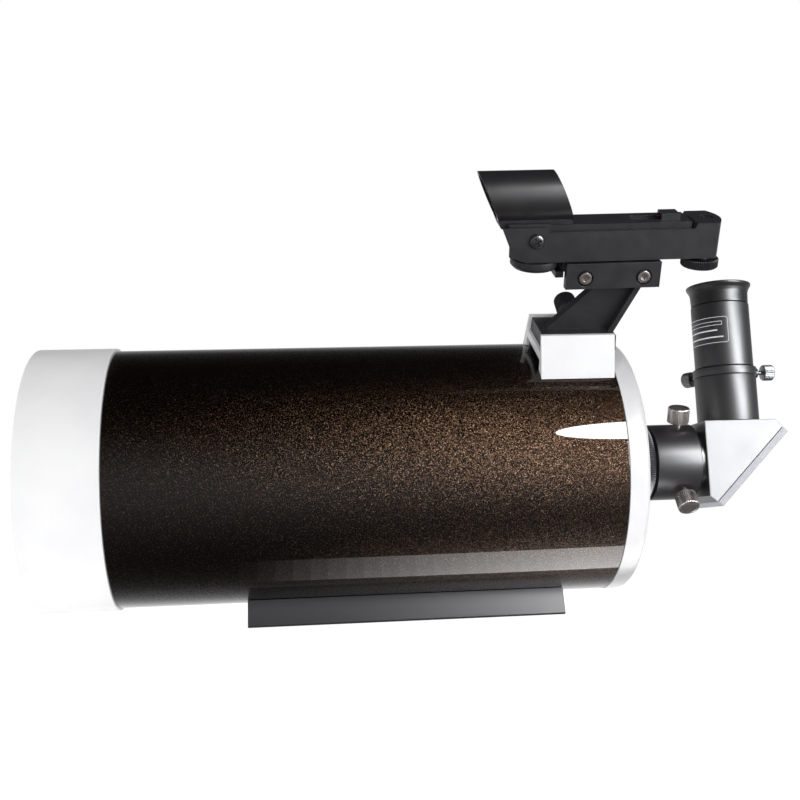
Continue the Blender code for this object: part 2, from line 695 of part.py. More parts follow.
def finder_shoe():
    """A white channel with leaning walls, whose skirts reach down to the tube."""
    top_half, foot_half, foot_z, floor_under = 0.0160, 0.0246, 0.0681, 0.0760
    cradle_r = TUBE_R + GAP
    edge = math.degrees(math.asin(0.0240 / cradle_r))
    saddle = arc((0, 0), cradle_r, 90 + edge, 90 - edge, 8)
    outline = [*saddle, (foot_half, foot_z), (top_half, SHOE_TOP), (CHANNEL_TOP, SHOE_TOP),
               (CHANNEL_BOTTOM, SHOE_FLOOR), (-CHANNEL_BOTTOM, SHOE_FLOOR), (-CHANNEL_TOP, SHOE_TOP),
               (-top_half, SHOE_TOP), (-foot_half, foot_z)]
    shoe = plate("finder_shoe", outline, SHOE_FRONT, SHOE_REAR, WHITE_PAINT, plane="YZ", parent=SIDE)
    cut(shoe, box("shoe_hollow", (SHOE_FRONT - 0.01, -0.0165, 0.060), (SHOE_REAR + 0.01, 0.0165, floor_under),
                  parent=SIDE, cutter=True))
    bore = [(0, 0.0700), (0.0023, 0.0700), (0.0023, 0.0776), (0.0044, 0.0776), (0.0044, 0.0900), (0, 0.0900)]
    for x in SHOE_BOLT_X:
        cut(shoe, turned("shoe_bore", bore, None, at=(x, 0, 0), sides=COARSE, parent=SIDE, cutter=True))
    at, axis = shoe_screw_axis()
    return cut(shoe, bolt_hole("shoe_screw_hole", 0.0022, -0.0060, 0.0060, SIDE, at, axis))


def finder_shoe_pad():
    """The block between the shoe's floor and the tube, hollowed to sit on the tube."""
    half, top, inset = 0.0162, 0.0757, 0.0015
    cradle_r = TUBE_R + GAP
    edge = math.degrees(math.asin(half / cradle_r))
    outline = [*arc((0, 0), cradle_r, 90 + edge, 90 - edge, 8), (half, top), (-half, top)]
    pad = plate("finder_shoe_pad", outline, SHOE_FRONT + inset, SHOE_REAR - inset, BLACK_RUBBER, plane="YZ", parent=SIDE)
    for x in SHOE_BOLT_X:
        cut(pad, bolt_hole("pad_hole", 0.0023, 0.0650, 0.0900, SIDE, (x, 0, 0)))
    return pad


def shoe_bolts():
    head_r, head_base, head_top, shank_r, tip = 0.0040, 0.0779, 0.0800, 0.0020, 0.0670
    outline = [(0, tip), (shank_r, tip), (shank_r, head_base), (head_r, head_base), (head_r, head_top), (0, head_top)]
    for name, x in zip(("front", "rear"), SHOE_BOLT_X):
        turned(f"shoe_bolt_{name}", outline, NICKEL, at=(x, 0, 0), sides=12, parent=SIDE)


def shoe_screw_axis():
    """A point on the far wall's outer face, and the wall's outward normal."""
    lean = math.atan2(0.0068, 0.0211)
    return (0.0979, 0.0179, 0.0840), (0, math.cos(lean), math.sin(lean))


def shoe_thumbscrew():
    shank_r, tip, head_r, head_start, head_end, edge = 0.0018, -0.0020, 0.0062, 0.0095, 0.0200, 0.0008
    outline = [(0, tip), (shank_r, tip), (shank_r, head_start), (head_r, head_start),
               (head_r, head_end - edge), (head_r - edge, head_end), (0, head_end)]
    at, axis = shoe_screw_axis()
    return turned("shoe_thumbscrew", outline, BLACK_PLASTIC, at=at, axis=axis, sides=20, parent=SIDE)


# ------------------------------------------------------------------ finder bracket and clamp

# The clamp and the finder tip nose down about the clamp's middle. Heights below stay distances from the
# optical axis, measured in the tipped frame.
TIPPED = frame("finder_tilt", rotation=(0, 0, 0), parent=SIDE)
_pivot = Vector((CLAMP_X, 0, 0.1220))
_tip = Matrix.Translation(_pivot) @ Matrix.Rotation(math.radians(-FINDER_TILT), 4, "Y") @ Matrix.Translation(-_pivot)
TIPPED.location = _tip.to_translation()
TIPPED.rotation_euler = _tip.to_euler()


def finder_bracket():
    """A foot for the shoe, a thin slanted web with a rear flange, and the clamp's fixed half."""
    foot_front, foot_rear, foot_base, foot_top = 0.0742, 0.1146, SHOE_FLOOR + 0.0004, 0.0885
    lean = (CHANNEL_BOTTOM - CHANNEL_TOP) / (SHOE_TOP - SHOE_FLOOR)
    half_base = CHANNEL_BOTTOM - lean * 0.0004 - 0.0004
    half_top = half_base - lean * (foot_top - foot_base)
    foot = plate("finder_bracket", [(-half_base, foot_base), (half_base, foot_base), (half_top, foot_top),
                                    (-half_top, foot_top)], foot_front, foot_rear, BLACK_PLASTIC,
                 plane="YZ", parent=SIDE)
    web_half, flange_half, flange_thick, buried, top = 0.0030, 0.0079, 0.0032, 0.0870, 0.1170
    rear_low, rear_high, front_low, front_high = 0.1142, 0.1288, 0.0770, 0.1075
    web = plate("bracket_web", [(front_low, buried), (rear_low - 0.0010, buried), (rear_high - 0.0010, top),
                                (front_high, top)], -web_half, web_half, parent=SIDE, cutter=True)
    flange = plate("bracket_flange", [(rear_low - flange_thick, buried), (rear_low, buried), (rear_high, top),
                                      (rear_high - flange_thick, top)], -flange_half, flange_half,
                   parent=SIDE, cutter=True)
    left, right = CLAMP_X - CLAMP_HALF + 0.0067, CLAMP_X + CLAMP_HALF
    head = plate("bracket_head", [(-0.0080, CLAMP_BASE), (0.0130, CLAMP_BASE), (0.0130, CLAMP_TOP),
                                  (0.0084, CLAMP_TOP), (0.0084, CLAMP_FLOOR), (-0.0080, CLAMP_FLOOR)],
                 left, right, plane="YZ", parent=TIPPED, cutter=True)
    join(foot, web, flange, head)
    for name, x in CLAMP_SCREWS.items():
        cut(foot, bolt_hole(f"head_hole_{name}", 0.0018, 0.000, 0.014, TIPPED, (x, 0, CLAMP_SCREW_Z), (0, -1, 0)))
    return cut(foot, bolt_hole("azimuth_hole", 0.0018, 0.006, 0.020, TIPPED, AZIMUTH_AT, (0, 1, 0)))


CLAMP_SCREWS = {"front": 0.0945, "rear": 0.1263}
CLAMP_SCREW_Z = 0.1212
AZIMUTH_AT = (0.1000, 0, 0.1262)


def clamp_jaw():
    left, right = CLAMP_X - CLAMP_HALF, CLAMP_X + CLAMP_HALF
    jaw = box("clamp_jaw", (left, -0.0130, CLAMP_BASE), (right, -0.0083, CLAMP_TOP), BLACK_PLASTIC, parent=TIPPED)
    for name, x in CLAMP_SCREWS.items():
        at, outward = (x, 0, CLAMP_SCREW_Z), (0, -1, 0)
        cut(jaw, cylinder(f"jaw_recess_{name}", 0.0046, 0.0105, 0.0150, at=at, axis=outward, sides=20,
                          parent=TIPPED, cutter=True))
        cut(jaw, bolt_hole(f"jaw_hole_{name}", 0.0018, 0.004, 0.016, TIPPED, at, outward))
    return jaw


def clamp_screws():
    tip, shank_r, head_r, head_start, head_end, socket_r, socket_end = (
        0.0010, 0.0015, 0.0034, 0.0108, 0.0136, 0.0015, 0.0118)
    outline = [(0, tip), (shank_r, tip), (shank_r, head_start), (head_r, head_start), (head_r, head_end),
               (socket_r, head_end), (socket_r, socket_end), (0, socket_end)]
    for name, x in CLAMP_SCREWS.items():
        turned(f"clamp_screw_{name}", outline, NICKEL, at=(x, 0, CLAMP_SCREW_Z), axis=(0, -1, 0), sides=12, parent=TIPPED)


def finder_rail():
    """The finder's own rail, gripped by the clamp, with the pin that the carriage yaws on."""
    half, base, top = 0.0078, CLAMP_FLOOR + GAP, CARRIAGE_BASE - GAP
    rail = box("finder_rail", (0.0828, -half, base), (CLAMP_X + CLAMP_HALF, half, top), BLACK_PLASTIC, parent=TIPPED)
    stub = box("rail_stub", (0.0795, -half, 0.1203), (CLAMP_X - CLAMP_HALF - GAP, half, 0.1237),
               parent=TIPPED, cutter=True)
    pin = bolt_hole("yaw_pin", 0.0030, base + 0.001, 0.1322, TIPPED, (YAW_X, 0, 0))
    return join(rail, stub, pin)


def azimuth_knob():
    """A small knurled screw in the clamp's far wall that swings the carriage."""
    tip, shank_r, head_r, head_start, head_end, edge = 0.0086, 0.0015, 0.0058, 0.0137, 0.0190, 0.0006
    outline = [(0, tip), (shank_r, tip), (shank_r, head_start), (head_r, head_start),
               (head_r, head_end - edge), (head_r - edge, head_end), (0, head_end)]
    return turned("azimuth_knob", outline, BLACK_PLASTIC, at=AZIMUTH_AT, axis=(0, 1, 0), sides=COARSE, parent=TIPPED)


# ------------------------------------------------------------------ finder carriage

BLOCK_FRONT, BLOCK_TOP, BLOCK_REAR = 0.1522, 0.1494, 0.1647
FLOOR_TOP = CARRIAGE_BASE + 0.0018


def finder_carriage():
    """An open-topped trough with raised front ears and a solid rear block."""
    ear_top, wall_top, bulge = 0.1491, 0.1465, 0.0039
    side = [(0.0490, ear_top), (0.0532, 0.1390), (0.0533, 0.1335), (0.0624, CARRIAGE_BASE),
            (BLOCK_REAR + 0.01, CARRIAGE_BASE), (BLOCK_REAR + 0.01, BLOCK_TOP), (BLOCK_FRONT + 0.0006, BLOCK_TOP),
            (BLOCK_FRONT, wall_top), (0.0741, wall_top), (0.0715, ear_top)]
    trough = plate("finder_carriage", side, -CARRIAGE_HALF - 0.002, CARRIAGE_HALF + 0.002, BLACK_PLASTIC, parent=TIPPED)
    steps = 6
    tail = [(BLOCK_REAR + bulge * (1 - (2 * i / steps - 1) ** 2), CARRIAGE_HALF * (2 * i / steps - 1))
            for i in range(steps + 1)]
    plan = [(0.0470, -CARRIAGE_HALF), *tail, (0.0590, CARRIAGE_HALF)]
    boolean(trough, plate("carriage_plan", plan, 0.1200, 0.1600, plane="XY", parent=TIPPED, cutter=True), "INTERSECT")
    inner = CARRIAGE_HALF - CARRIAGE_WALL
    turning = {"parent": TIPPED, "cutter": True, "at": (ALTITUDE_X, 0, 0), "sides": COARSE}
    cut(
        trough,
        box("trough_hollow", (0.0400, -inner, FLOOR_TOP), (BLOCK_FRONT - 0.0002, inner, 0.1700), parent=TIPPED, cutter=True),
        box("tongue_slot", (0.1500, -0.0062, 0.1358), (0.1662, 0.0062, 0.1448), parent=TIPPED, cutter=True),
        cylinder("altitude_hole", 0.0018, 0.1280, 0.1510, **turning),
        cylinder("altitude_recess", 0.0041, 0.1482, 0.1510, **turning),
        cylinder("spring_well", 0.0035, 0.1320, 0.1362, **turning),
        bolt_hole("yaw_hole", 0.0033, 0.1280, 0.1400, TIPPED, (YAW_X, 0, 0)),
        bolt_hole("pivot_hole", 0.0021, -0.0200, 0.0200, TIPPED, (PIVOT_X, 0, PIVOT_Z), (0, 1, 0)),
    )
    return trough


def battery_cover():
    """A round tray that twists into the carriage's floor under the button cell, with a thumb tab."""
    outer, well, base, top, well_base = 0.0130, 0.0103, 0.1240, CARRIAGE_BASE - 0.0005, 0.1261
    outline = [(0, base), (outer - 0.0008, base), (outer, base + 0.0008), (outer, top), (well, top),
               (well, well_base), (0, well_base)]
    return turned("battery_cover", outline, BLACK_PLASTIC, at=(BATTERY_X, 0, 0), parent=TIPPED)


def battery_cell():
    base, top = 0.1264, 0.1295
    return cylinder("battery_cell", 0.0100, base, top, NICKEL, at=(BATTERY_X, 0, 0), sides=24, parent=TIPPED)


def altitude_wheel():
    """The knurled wheel under the rear block, with its screw up through the tongue."""
    wheel_r, base, wheel_top, hub_r, edge = 0.0100, 0.1222, 0.1272, 0.0050, 0.0006
    shank_r, head_r, head_base, head_top = 0.0015, 0.0034, 0.1485, 0.1491
    outline = [(0, base), (wheel_r - edge, base), (wheel_r, base + edge), (wheel_r, wheel_top - edge),
               (wheel_r - edge, wheel_top), (hub_r, wheel_top), (hub_r, CARRIAGE_BASE - GAP),
               (shank_r, CARRIAGE_BASE - GAP), (shank_r, head_base), (head_r, head_base),
               (head_r, head_top), (0, head_top)]
    return turned("altitude_wheel", outline, BLACK_PLASTIC, at=(ALTITUDE_X, 0, 0), sides=24, parent=TIPPED)


def altitude_spring():
    """A small coil spring round the altitude screw, under the tongue."""
    coil_r, wire_r, turns, per_turn, base, top = 0.0027, 0.00035, 3, 9, 0.1324, 0.1379
    curve = bpy.data.curves.new("altitude_spring", "CURVE")
    curve.dimensions = "3D"
    curve.bevel_depth = wire_r
    curve.bevel_resolution = 2
    curve.use_fill_caps = True
    curve.materials.append(NICKEL)
    count = turns * per_turn + 1
    spline = curve.splines.new("POLY")
    spline.points.add(count - 1)
    for i, point in enumerate(spline.points):
        angle = math.tau * i / per_turn
        height = base + (top - base) * i / (count - 1)
        point.co = (coil_r * math.cos(angle), coil_r * math.sin(angle), height, 1)
    spring = bpy.data.objects.new("altitude_spring", curve)
    spring.location = (ALTITUDE_X, 0, 0)
    return place(spring, TIPPED)


def brightness_knob():
    """The rotary switch and dimmer on the carriage's far side."""
    start, end, radius, edge = CARRIAGE_HALF + GAP, 0.0150, 0.0062, 0.0005
    outline = [(0, start), (radius, start), (radius, end - edge), (radius - edge, end), (0, end)]
    return turned("brightness_knob", outline, BLACK_PLASTIC, at=(0.1330, 0, 0.1388), axis=(0, 1, 0), sides=24, parent=TIPPED)


# ------------------------------------------------------------------ finder body and hood

BODY_TOP, BODY_BASE_Z, BODY_REAR = 0.1497, 0.1342, 0.1505


def finder_body():
    """The tilting bar: a cradle for the hood in front, the LED block on top, a tongue behind."""
    half, neck_half, cradle_half = 0.0090, 0.0097, 0.0070
    bar = box("finder_body", (0.0740, -half, BODY_BASE_Z), (BODY_REAR, half, BODY_TOP), BLACK_PLASTIC, parent=TIPPED)
    neck = plate("body_neck", [(0.0520, 0.1506), (0.0580, 0.1440), (0.0595, 0.1360), (0.0615, BODY_BASE_Z + 0.0001),
                               (0.0752, BODY_BASE_Z + 0.0001), (0.0752, 0.1506)], -neck_half, neck_half,
                 parent=TIPPED, cutter=True)
    cradle = plate("hood_cradle", [(0.0492, 0.1475), (0.0457, 0.1557), (0.0845, 0.1557), (0.0872, 0.1496),
                                   (0.0745, 0.1496), (0.0742, 0.1475)], -cradle_half, cradle_half,
                   parent=TIPPED, cutter=True)
    tongue = box("body_tongue", (BODY_REAR - 0.001, -0.0055, 0.1385), (0.1655, 0.0055, 0.1420), parent=TIPPED, cutter=True)
    led_block = box("led_block", (0.1356, -0.0040, 0.1480), (0.1456, 0.0040, 0.1529), parent=TIPPED, cutter=True)
    join(bar, neck, cradle, tongue, led_block)
    return cut(
        bar,
        cylinder("cradle_bore", HOOD_R + GAP, 0.030, 0.110, at=(0, 0, HOOD_Z), axis=(1, 0, 0), parent=TIPPED, cutter=True),
        box("beam_trough", (0.1195, -0.0040, 0.1482), (0.1354, 0.0040, 0.1560), parent=TIPPED, cutter=True),
        bolt_hole("led_hole", 0.0016, 0.1340, 0.1400, TIPPED, (0, 0, 0.1506), (1, 0, 0)),
        bolt_hole("screw_hole", 0.0018, 0.1300, 0.1500, TIPPED, (ALTITUDE_X, 0, 0)),
        bolt_hole("body_pivot_hole", 0.0021, -0.0200, 0.0200, TIPPED, (PIVOT_X, 0, PIVOT_Z), (0, 1, 0)),
    )


def led_emitter():
    radius, start, end = 0.0012, 0.1348, 0.1390
    outline = [(0, start - 0.0008), (radius * 0.7, start - 0.0004), (radius, start + 0.0003), (radius, end), (0, end)]
    return turned("led_emitter", outline, GLASS, at=(0, 0, 0.1506), axis=(1, 0, 0), sides=12, parent=TIPPED)


def pivot_screw():
    """The cross-head screw that the body tilts on, through both ears."""
    head_r, shank_r, head_end, head_start, tip = 0.0038, 0.0018, -0.0137, -0.0119, 0.0114
    outline = [(0, head_end), (head_r * 0.75, head_end), (head_r, head_start - 0.0006), (head_r, head_start),
               (shank_r, head_start), (shank_r, tip), (0, tip)]
    return turned("pivot_screw", outline, NICKEL, at=(PIVOT_X, 0, PIVOT_Z), axis=(0, 1, 0), sides=COARSE, parent=TIPPED)


def finder_hood():
    """A short tube with both ends cut on parallel slants, open right through."""
    bore, start, end, top_front, top_rear = 0.0118, 0.030, 0.095, 0.0370, 0.0771
    outline = [(bore, start), (HOOD_R, start), (HOOD_R, end), (bore, end)]
    hood = turned("finder_hood", outline, BLACK_PLASTIC, at=(0, 0, HOOD_Z), axis=(1, 0, 0), parent=TIPPED)
    for name, x, low, high in (("front", top_front, -0.05, 0.0), ("rear", top_rear, 0.0, 0.05)):
        knife = box(f"hood_knife_{name}", (low, -0.03, -0.06), (high, 0.03, 0.03), parent=TIPPED, cutter=True)
        knife.location = (x, 0, HOOD_Z + HOOD_R)
        knife.rotation_euler = (0, math.radians(-HOOD_CUT), 0)
        cut(hood, knife)
    return hood


def finder_lens():
    """The tilted, part-silvered lens that throws the dot back to the eye."""
    radius, half, lean = 0.0113, 0.0008, 5.0
    direction = (math.cos(math.radians(lean)), 0, math.sin(math.radians(lean)))
    return cylinder("finder_lens", radius, -half, half, GLASS, at=(0.0620, 0, HOOD_Z), axis=direction, parent=TIPPED)


# ------------------------------------------------------------------ build


def build():
    tube = main_tube()
    for name, x in (("front", -BAR_BOLT_X), ("rear", BAR_BOLT_X)):
        cut(tube, bolt_hole(f"tube_bar_hole_{name}", 0.0034, 0.0050, 0.0250, None, (x, 0, 0)))
    for x in SHOE_BOLT_X:
        cut(tube, bolt_hole("tube_shoe_hole", 0.0023, 0.0600, 0.0800, SIDE, (x, 0, 0)))
    front_cell()
    lens_retaining_ring()
    meniscus_lens()
    secondary_baffle()
    rear_cell()
    collimation_screws()
    primary_baffle_tube()
    mirror_carrier()
    primary_mirror()
    mirror_retaining_ring()
    focus_rod()
    focus_bushing()
    focus_knob()
    lock_ring()
    visual_back()
    visual_back_screws()
    diagonal_nosepiece()
    diagonal_housing()
    diagonal_plates()
    diagonal_mirror()
    diagonal_cover()
    eyepiece_holder()
    holder_screws()
    eyepiece_barrel()
    eyepiece_body()
    biconvex("field_lens", 0.0122, 0.0630, 0.0660, 0.0012)
    biconvex("eye_lens", 0.0115, 0.0912, 0.0945, 0.0012)
    eyecup()
    dovetail_bar()
    dovetail_bolts()
    nut_plate()
    finder_shoe()
    finder_shoe_pad()
    shoe_bolts()
    shoe_thumbscrew()
    finder_bracket()
    clamp_jaw()
    clamp_screws()
    finder_rail()
    azimuth_knob()
    finder_carriage()
    battery_cover()
    battery_cell()
    altitude_wheel()
    altitude_spring()
    brightness_knob()
    finder_body()
    led_emitter()
    pivot_screw()
    finder_hood()
    finder_lens()


build()
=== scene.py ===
"""The finished look of the telescope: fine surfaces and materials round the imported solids.

All lengths are in metres, in the solids' own frame: +X along the optical axis towards the eye,
+Z up, and the origin under the dovetail bar. The finder's pieces are drawn in its own tipped frame.
"""

import math

import bmesh
import bpy
from mathutils import Matrix, Vector


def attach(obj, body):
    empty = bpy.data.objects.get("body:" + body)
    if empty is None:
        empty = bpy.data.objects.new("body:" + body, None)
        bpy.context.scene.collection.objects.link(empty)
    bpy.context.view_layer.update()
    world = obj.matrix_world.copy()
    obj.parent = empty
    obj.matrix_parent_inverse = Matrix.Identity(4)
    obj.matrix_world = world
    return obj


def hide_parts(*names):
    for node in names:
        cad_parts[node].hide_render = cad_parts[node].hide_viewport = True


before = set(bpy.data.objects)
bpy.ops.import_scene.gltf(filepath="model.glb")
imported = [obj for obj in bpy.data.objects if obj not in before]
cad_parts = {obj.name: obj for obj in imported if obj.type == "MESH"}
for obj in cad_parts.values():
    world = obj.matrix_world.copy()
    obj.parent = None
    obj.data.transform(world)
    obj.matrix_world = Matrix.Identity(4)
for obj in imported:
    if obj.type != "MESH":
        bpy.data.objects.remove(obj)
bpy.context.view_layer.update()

AXIS_Z = 0.0845  # height of the optical axis
EYE_X = 0.1997  # where the eyepiece's axis crosses it
SADDLE_R = 0.0723  # the curve of the pieces that sit on the tube
ROLL, TILT = 34.0, 1.1  # degrees, of the finder round the tube and along it
SHARP = math.radians(32)

OPTICAL = Matrix.Translation((0, 0, AXIS_Z))
SIDE = OPTICAL @ Matrix.Rotation(math.radians(ROLL), 4, "X")
PIVOT = Vector((0.1097, 0, 0.1220))
TIPPED = (SIDE @ Matrix.Translation(PIVOT) @ Matrix.Rotation(math.radians(-TILT), 4, "Y")
          @ Matrix.Translation(-PIVOT))
WORLD = Matrix.Identity(4)

# ------------------------------------------------------------------ shape helpers


def add(mesh, name, matrix, finish, body=None, replaces=(), slot=None):
    """Puts a finished mesh in the scene as one piece that rides on a body."""
    slot = slot or finish.slot
    mesh.transform(matrix)
    mesh.name = name
    mesh.shade_smooth()
    mesh.set_sharp_from_angle(angle=SHARP)
    mesh.materials.clear()
    mesh.materials.append(finish.material)
    piece = bpy.data.objects.new(name, mesh)
    bpy.context.scene.collection.objects.link(piece)
    if body:
        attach(piece, body)
        if replaces:
            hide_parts(*replaces)
    return piece


def to_mesh(built):
    bmesh.ops.remove_doubles(built, verts=built.verts, dist=1e-7)
    bmesh.ops.recalc_face_normals(built, faces=built.faces)
    mesh = bpy.data.meshes.new("built")
    built.to_mesh(mesh)
    built.free()
    return mesh


def fillet(outline, radius, steps=3, closed=True):
    """Rounds an outline's corners. A point may bring its own radius as a third number."""
    straight, share = math.radians(172), 0.45  # a fillet takes at most this share of a side
    rounded, count = [], len(outline)
    for i, point in enumerate(outline):
        corner = Vector(point[:2])
        wanted = point[2] if len(point) > 2 else radius
        if not closed and i in (0, count - 1) or wanted <= 0:
            rounded.append(corner)
            continue
        before = Vector(outline[i - 1][:2]) - corner
        after = Vector(outline[(i + 1) % count][:2]) - corner
        turn = before.angle(after, math.pi)
        if turn > straight:
            rounded.append(corner)
            continue
        reach = min(wanted / math.tan(turn / 2), share * before.length, share * after.length)
        start, end = corner + before.normalized() * reach, corner + after.normalized() * reach
        for step in range(steps + 1):
            t = step / steps
            rounded.append(start * (1 - t) ** 2 + corner * 2 * t * (1 - t) + end * t * t)
    return rounded


def pointing(at, axis):
    """A matrix that takes local +Z to an axis, placed at a point."""
    return Matrix.Translation(at) @ Vector(axis).to_track_quat("Z", "Y").to_matrix().to_4x4()


def lathe(outline, radius=0.0003, steps=3, segments=96, ripple=None):
    """A turned mesh round local Z. The outline's points are (radius, height), and one that starts on
    the axis ends there too."""
    closed = outline[0][0] > 0
    points = fillet(outline, radius, steps, closed)
    built = bmesh.new()
    rings = []
    for r, h in points:
        if r < 1e-7:
            rings.append([built.verts.new((0, 0, h))] * segments)
            continue
        ring = []
        for i in range(segments):
            angle = math.tau * i / segments
            reach = ripple(angle, r, h) if ripple else r
            ring.append(built.verts.new((reach * math.cos(angle), reach * math.sin(angle), h)))
        rings.append(ring)
    pairs = list(zip(rings, rings[1:])) + ([(rings[-1], rings[0])] if closed else [])
    for low, high in pairs:
        for i in range(segments):
            j = (i + 1) % segments
            corners = list(dict.fromkeys([low[i], low[j], high[j], high[i]]))
            if len(corners) > 2:
                built.faces.new(corners)
    return to_mesh(built)


def knurl(count, depth, radius, low, high):
    """Straight teeth on the band of a turned piece that reaches a radius."""

    def ripple(angle, r, h):
        if r < radius - 0.4 * depth or not low <= h <= high:
            return r
        phase = (count * angle / math.tau) % 1.0
        return r - depth * min(1.0, 2.4 * abs(phase - 0.5)) ** 1.5

    return ripple


def hexed(flats, band):
    """Makes the bore of a turned piece six-sided below a radius."""

    def ripple(angle, r, h):
        if r > band or r < 1e-6:
            return r
        wedge = (angle % (math.tau / 6)) - math.tau / 12
        return r / math.cos(wedge) * flats

    return ripple


def extrude(outline, low, high, plane="XZ"):
    """A flat outline given a thickness. XZ runs low..high along Y, YZ along X, XY along Z."""
    place = {
        "XZ": lambda u, v, w: (u, w, v),
        "YZ": lambda u, v, w: (w, u, v),
        "XY": lambda u, v, w: (u, v, w),
    }[plane]
    built = bmesh.new()
    bottom = [built.verts.new(place(u, v, low)) for u, v in outline]
    top = [built.verts.new(place(u, v, high)) for u, v in outline]
    built.faces.new(bottom)
    built.faces.new(top)
    for i in range(len(outline)):
        j = (i + 1) % len(outline)
        built.faces.new((bottom[i], bottom[j], top[j], top[i]))
    return to_mesh(built)


def block(low, high):
    outline = [(low[0], low[2]), (high[0], low[2]), (high[0], high[2]), (low[0], high[2])]
    return extrude(outline, low[1], high[1])


def plug(outline, place, segments=48):
    """A turned tool for cutting. Its outline starts and ends on its axis."""
    mesh = lathe(outline, 0, 1, segments)
    mesh.transform(place)
    return mesh


def drill(radius, start, end, at=(0, 0, 0), axis=(0, 0, 1), segments=40):
    return plug([(0, start), (radius, start), (radius, end), (0, end)], pointing(at, axis), segments)


def stitch(loops):
    """Joins equal loops of points, the last to the first."""
    built = bmesh.new()
    rings = [[built.verts.new(point) for point in loop] for loop in loops]
    for a, b in zip(rings, rings[1:] + rings[:1]):
        for i in range(len(a)):
            j = (i + 1) % len(a)
            built.faces.new((a[i], a[j], b[j], b[i]))
    return to_mesh(built)


def saddle(half_width, middle, steps, height=0.0):
    """The curve that sits on the tube, centred on an angle in degrees."""
    edge = math.degrees(math.asin(half_width / SADDLE_R))
    angles = [math.radians(middle + edge - 2 * edge * i / steps) for i in range(steps + 1)]
    return [(SADDLE_R * math.cos(a), height + SADDLE_R * math.sin(a)) for a in angles]


def combine(base, *changes):
    """Applies Booleans to a mesh. Each change is (operation, mesh)."""
    for operation, tool in changes:
        target = bpy.data.objects.new("target", base)
        cutter = bpy.data.objects.new("cutter", tool)
        for obj in (target, cutter):
            bpy.context.scene.collection.objects.link(obj)
        modifier = target.modifiers.new("change", "BOOLEAN")
        modifier.operation = operation
        modifier.object = cutter
        modifier.solver = "EXACT"
        graph = bpy.context.evaluated_depsgraph_get()
        base = bpy.data.meshes.new_from_object(target.evaluated_get(graph))
        bpy.data.objects.remove(target)
        bpy.data.objects.remove(cutter)
    return base


def cut(base, *tools):
    return combine(base, *[("DIFFERENCE", tool) for tool in tools])


def join(base, *tools):
    return combine(base, *[("UNION", tool) for tool in tools])


def soften(piece, width, segments=2):
    """Rounds a piece's hard edges."""
    bevel = piece.modifiers.new("soft_edges", "BEVEL")
    bevel.width = width
    bevel.segments = segments
    bevel.limit_method = "ANGLE"
    bevel.angle_limit = math.radians(30)
    bevel.harden_normals = True
    bevel.use_clamp_overlap = True


# ------------------------------------------------------------------ materials


def new_node(nodes, kind, values=(), **settings):
    """A shader node, its settings made before its inputs' values."""
    node = nodes.new("ShaderNode" + kind)
    for name, value in settings.items():
        setattr(node, name, value)
    for socket, value in dict(values).items():
        node.inputs[socket].default_value = value
    return node


def new_ramp(nodes, stops):
    """A colour ramp. Its stops are (position, colour)."""
    ramp = new_node(nodes, "ValToRGB")
    elements = ramp.color_ramp.elements
    while len(elements) < len(stops):
        elements.new(0.5)
    for element, (position, colour) in zip(elements, stops):
        element.position = position
        element.color = (*colour, 1)
    return ramp


class Finish:
    """A Principled material with a few procedural layers on object coordinates, and its slot."""

    def __init__(self, name, slot, colour, roughness, metallic=0.0, **sockets):
        self.slot = slot
        self.material = bpy.data.materials.new(name)
        self.material.use_nodes = True
        self.nodes = self.material.node_tree.nodes
        self.shader = self.nodes["Principled BSDF"]
        self.set("Base Color", (*colour, 1))
        self.set("Roughness", roughness)
        self.set("Metallic", metallic)
        for socket, value in sockets.items():
            self.set(socket.replace("_", " "), value)
        self.coordinates = self.node("TexCoord").outputs["Object"]

    def set(self, socket, value):
        self.shader.inputs[socket].default_value = value

    def node(self, kind, values=(), **settings):
        return new_node(self.nodes, kind, values, **settings)

    def link(self, source, target):
        self.material.node_tree.links.new(source, target)
        return self

    def noise(self, scale, stretch=(1, 1, 1), detail=2.0):
        mapping = self.node("Mapping", {"Scale": [scale * s for s in stretch]})
        self.link(self.coordinates, mapping.inputs["Vector"])
        noise = self.node("TexNoise", {"Scale": 1.0, "Detail": detail})
        self.link(mapping.outputs["Vector"], noise.inputs["Vector"])
        return noise.outputs["Fac"]

    def ramp(self, source, stops):
        ramp = new_ramp(self.nodes, stops)
        self.link(source, ramp.inputs["Fac"])
        return ramp.outputs["Color"]

    def mottle(self, scale, low, high, stretch=(1, 1, 1)):
        """Slow changes of roughness, as handling and casting leave."""
        span = self.node("MapRange", {"From Min": 0.3, "From Max": 0.7, "To Min": low, "To Max": high})
        self.link(self.noise(scale, stretch), span.inputs["Value"])
        return self.link(span.outputs["Result"], self.shader.inputs["Roughness"])

    def tint(self, scale, dark, light, stretch=(1, 1, 1)):
        """Slow changes of colour between two shades."""
        colour = self.ramp(self.noise(scale, stretch, 4.0), [(0.35, dark), (0.65, light)])
        return self.link(colour, self.shader.inputs["Base Color"])

    def grain(self, scale, depth, stretch=(1, 1, 1)):
        """Fine relief."""
        bump = self.node("Bump", {"Distance": depth, "Strength": 1.0})
        self.link(self.noise(scale, stretch, 3.0), bump.inputs["Height"])
        return self.link(bump.outputs["Normal"], self.shader.inputs["Normal"])


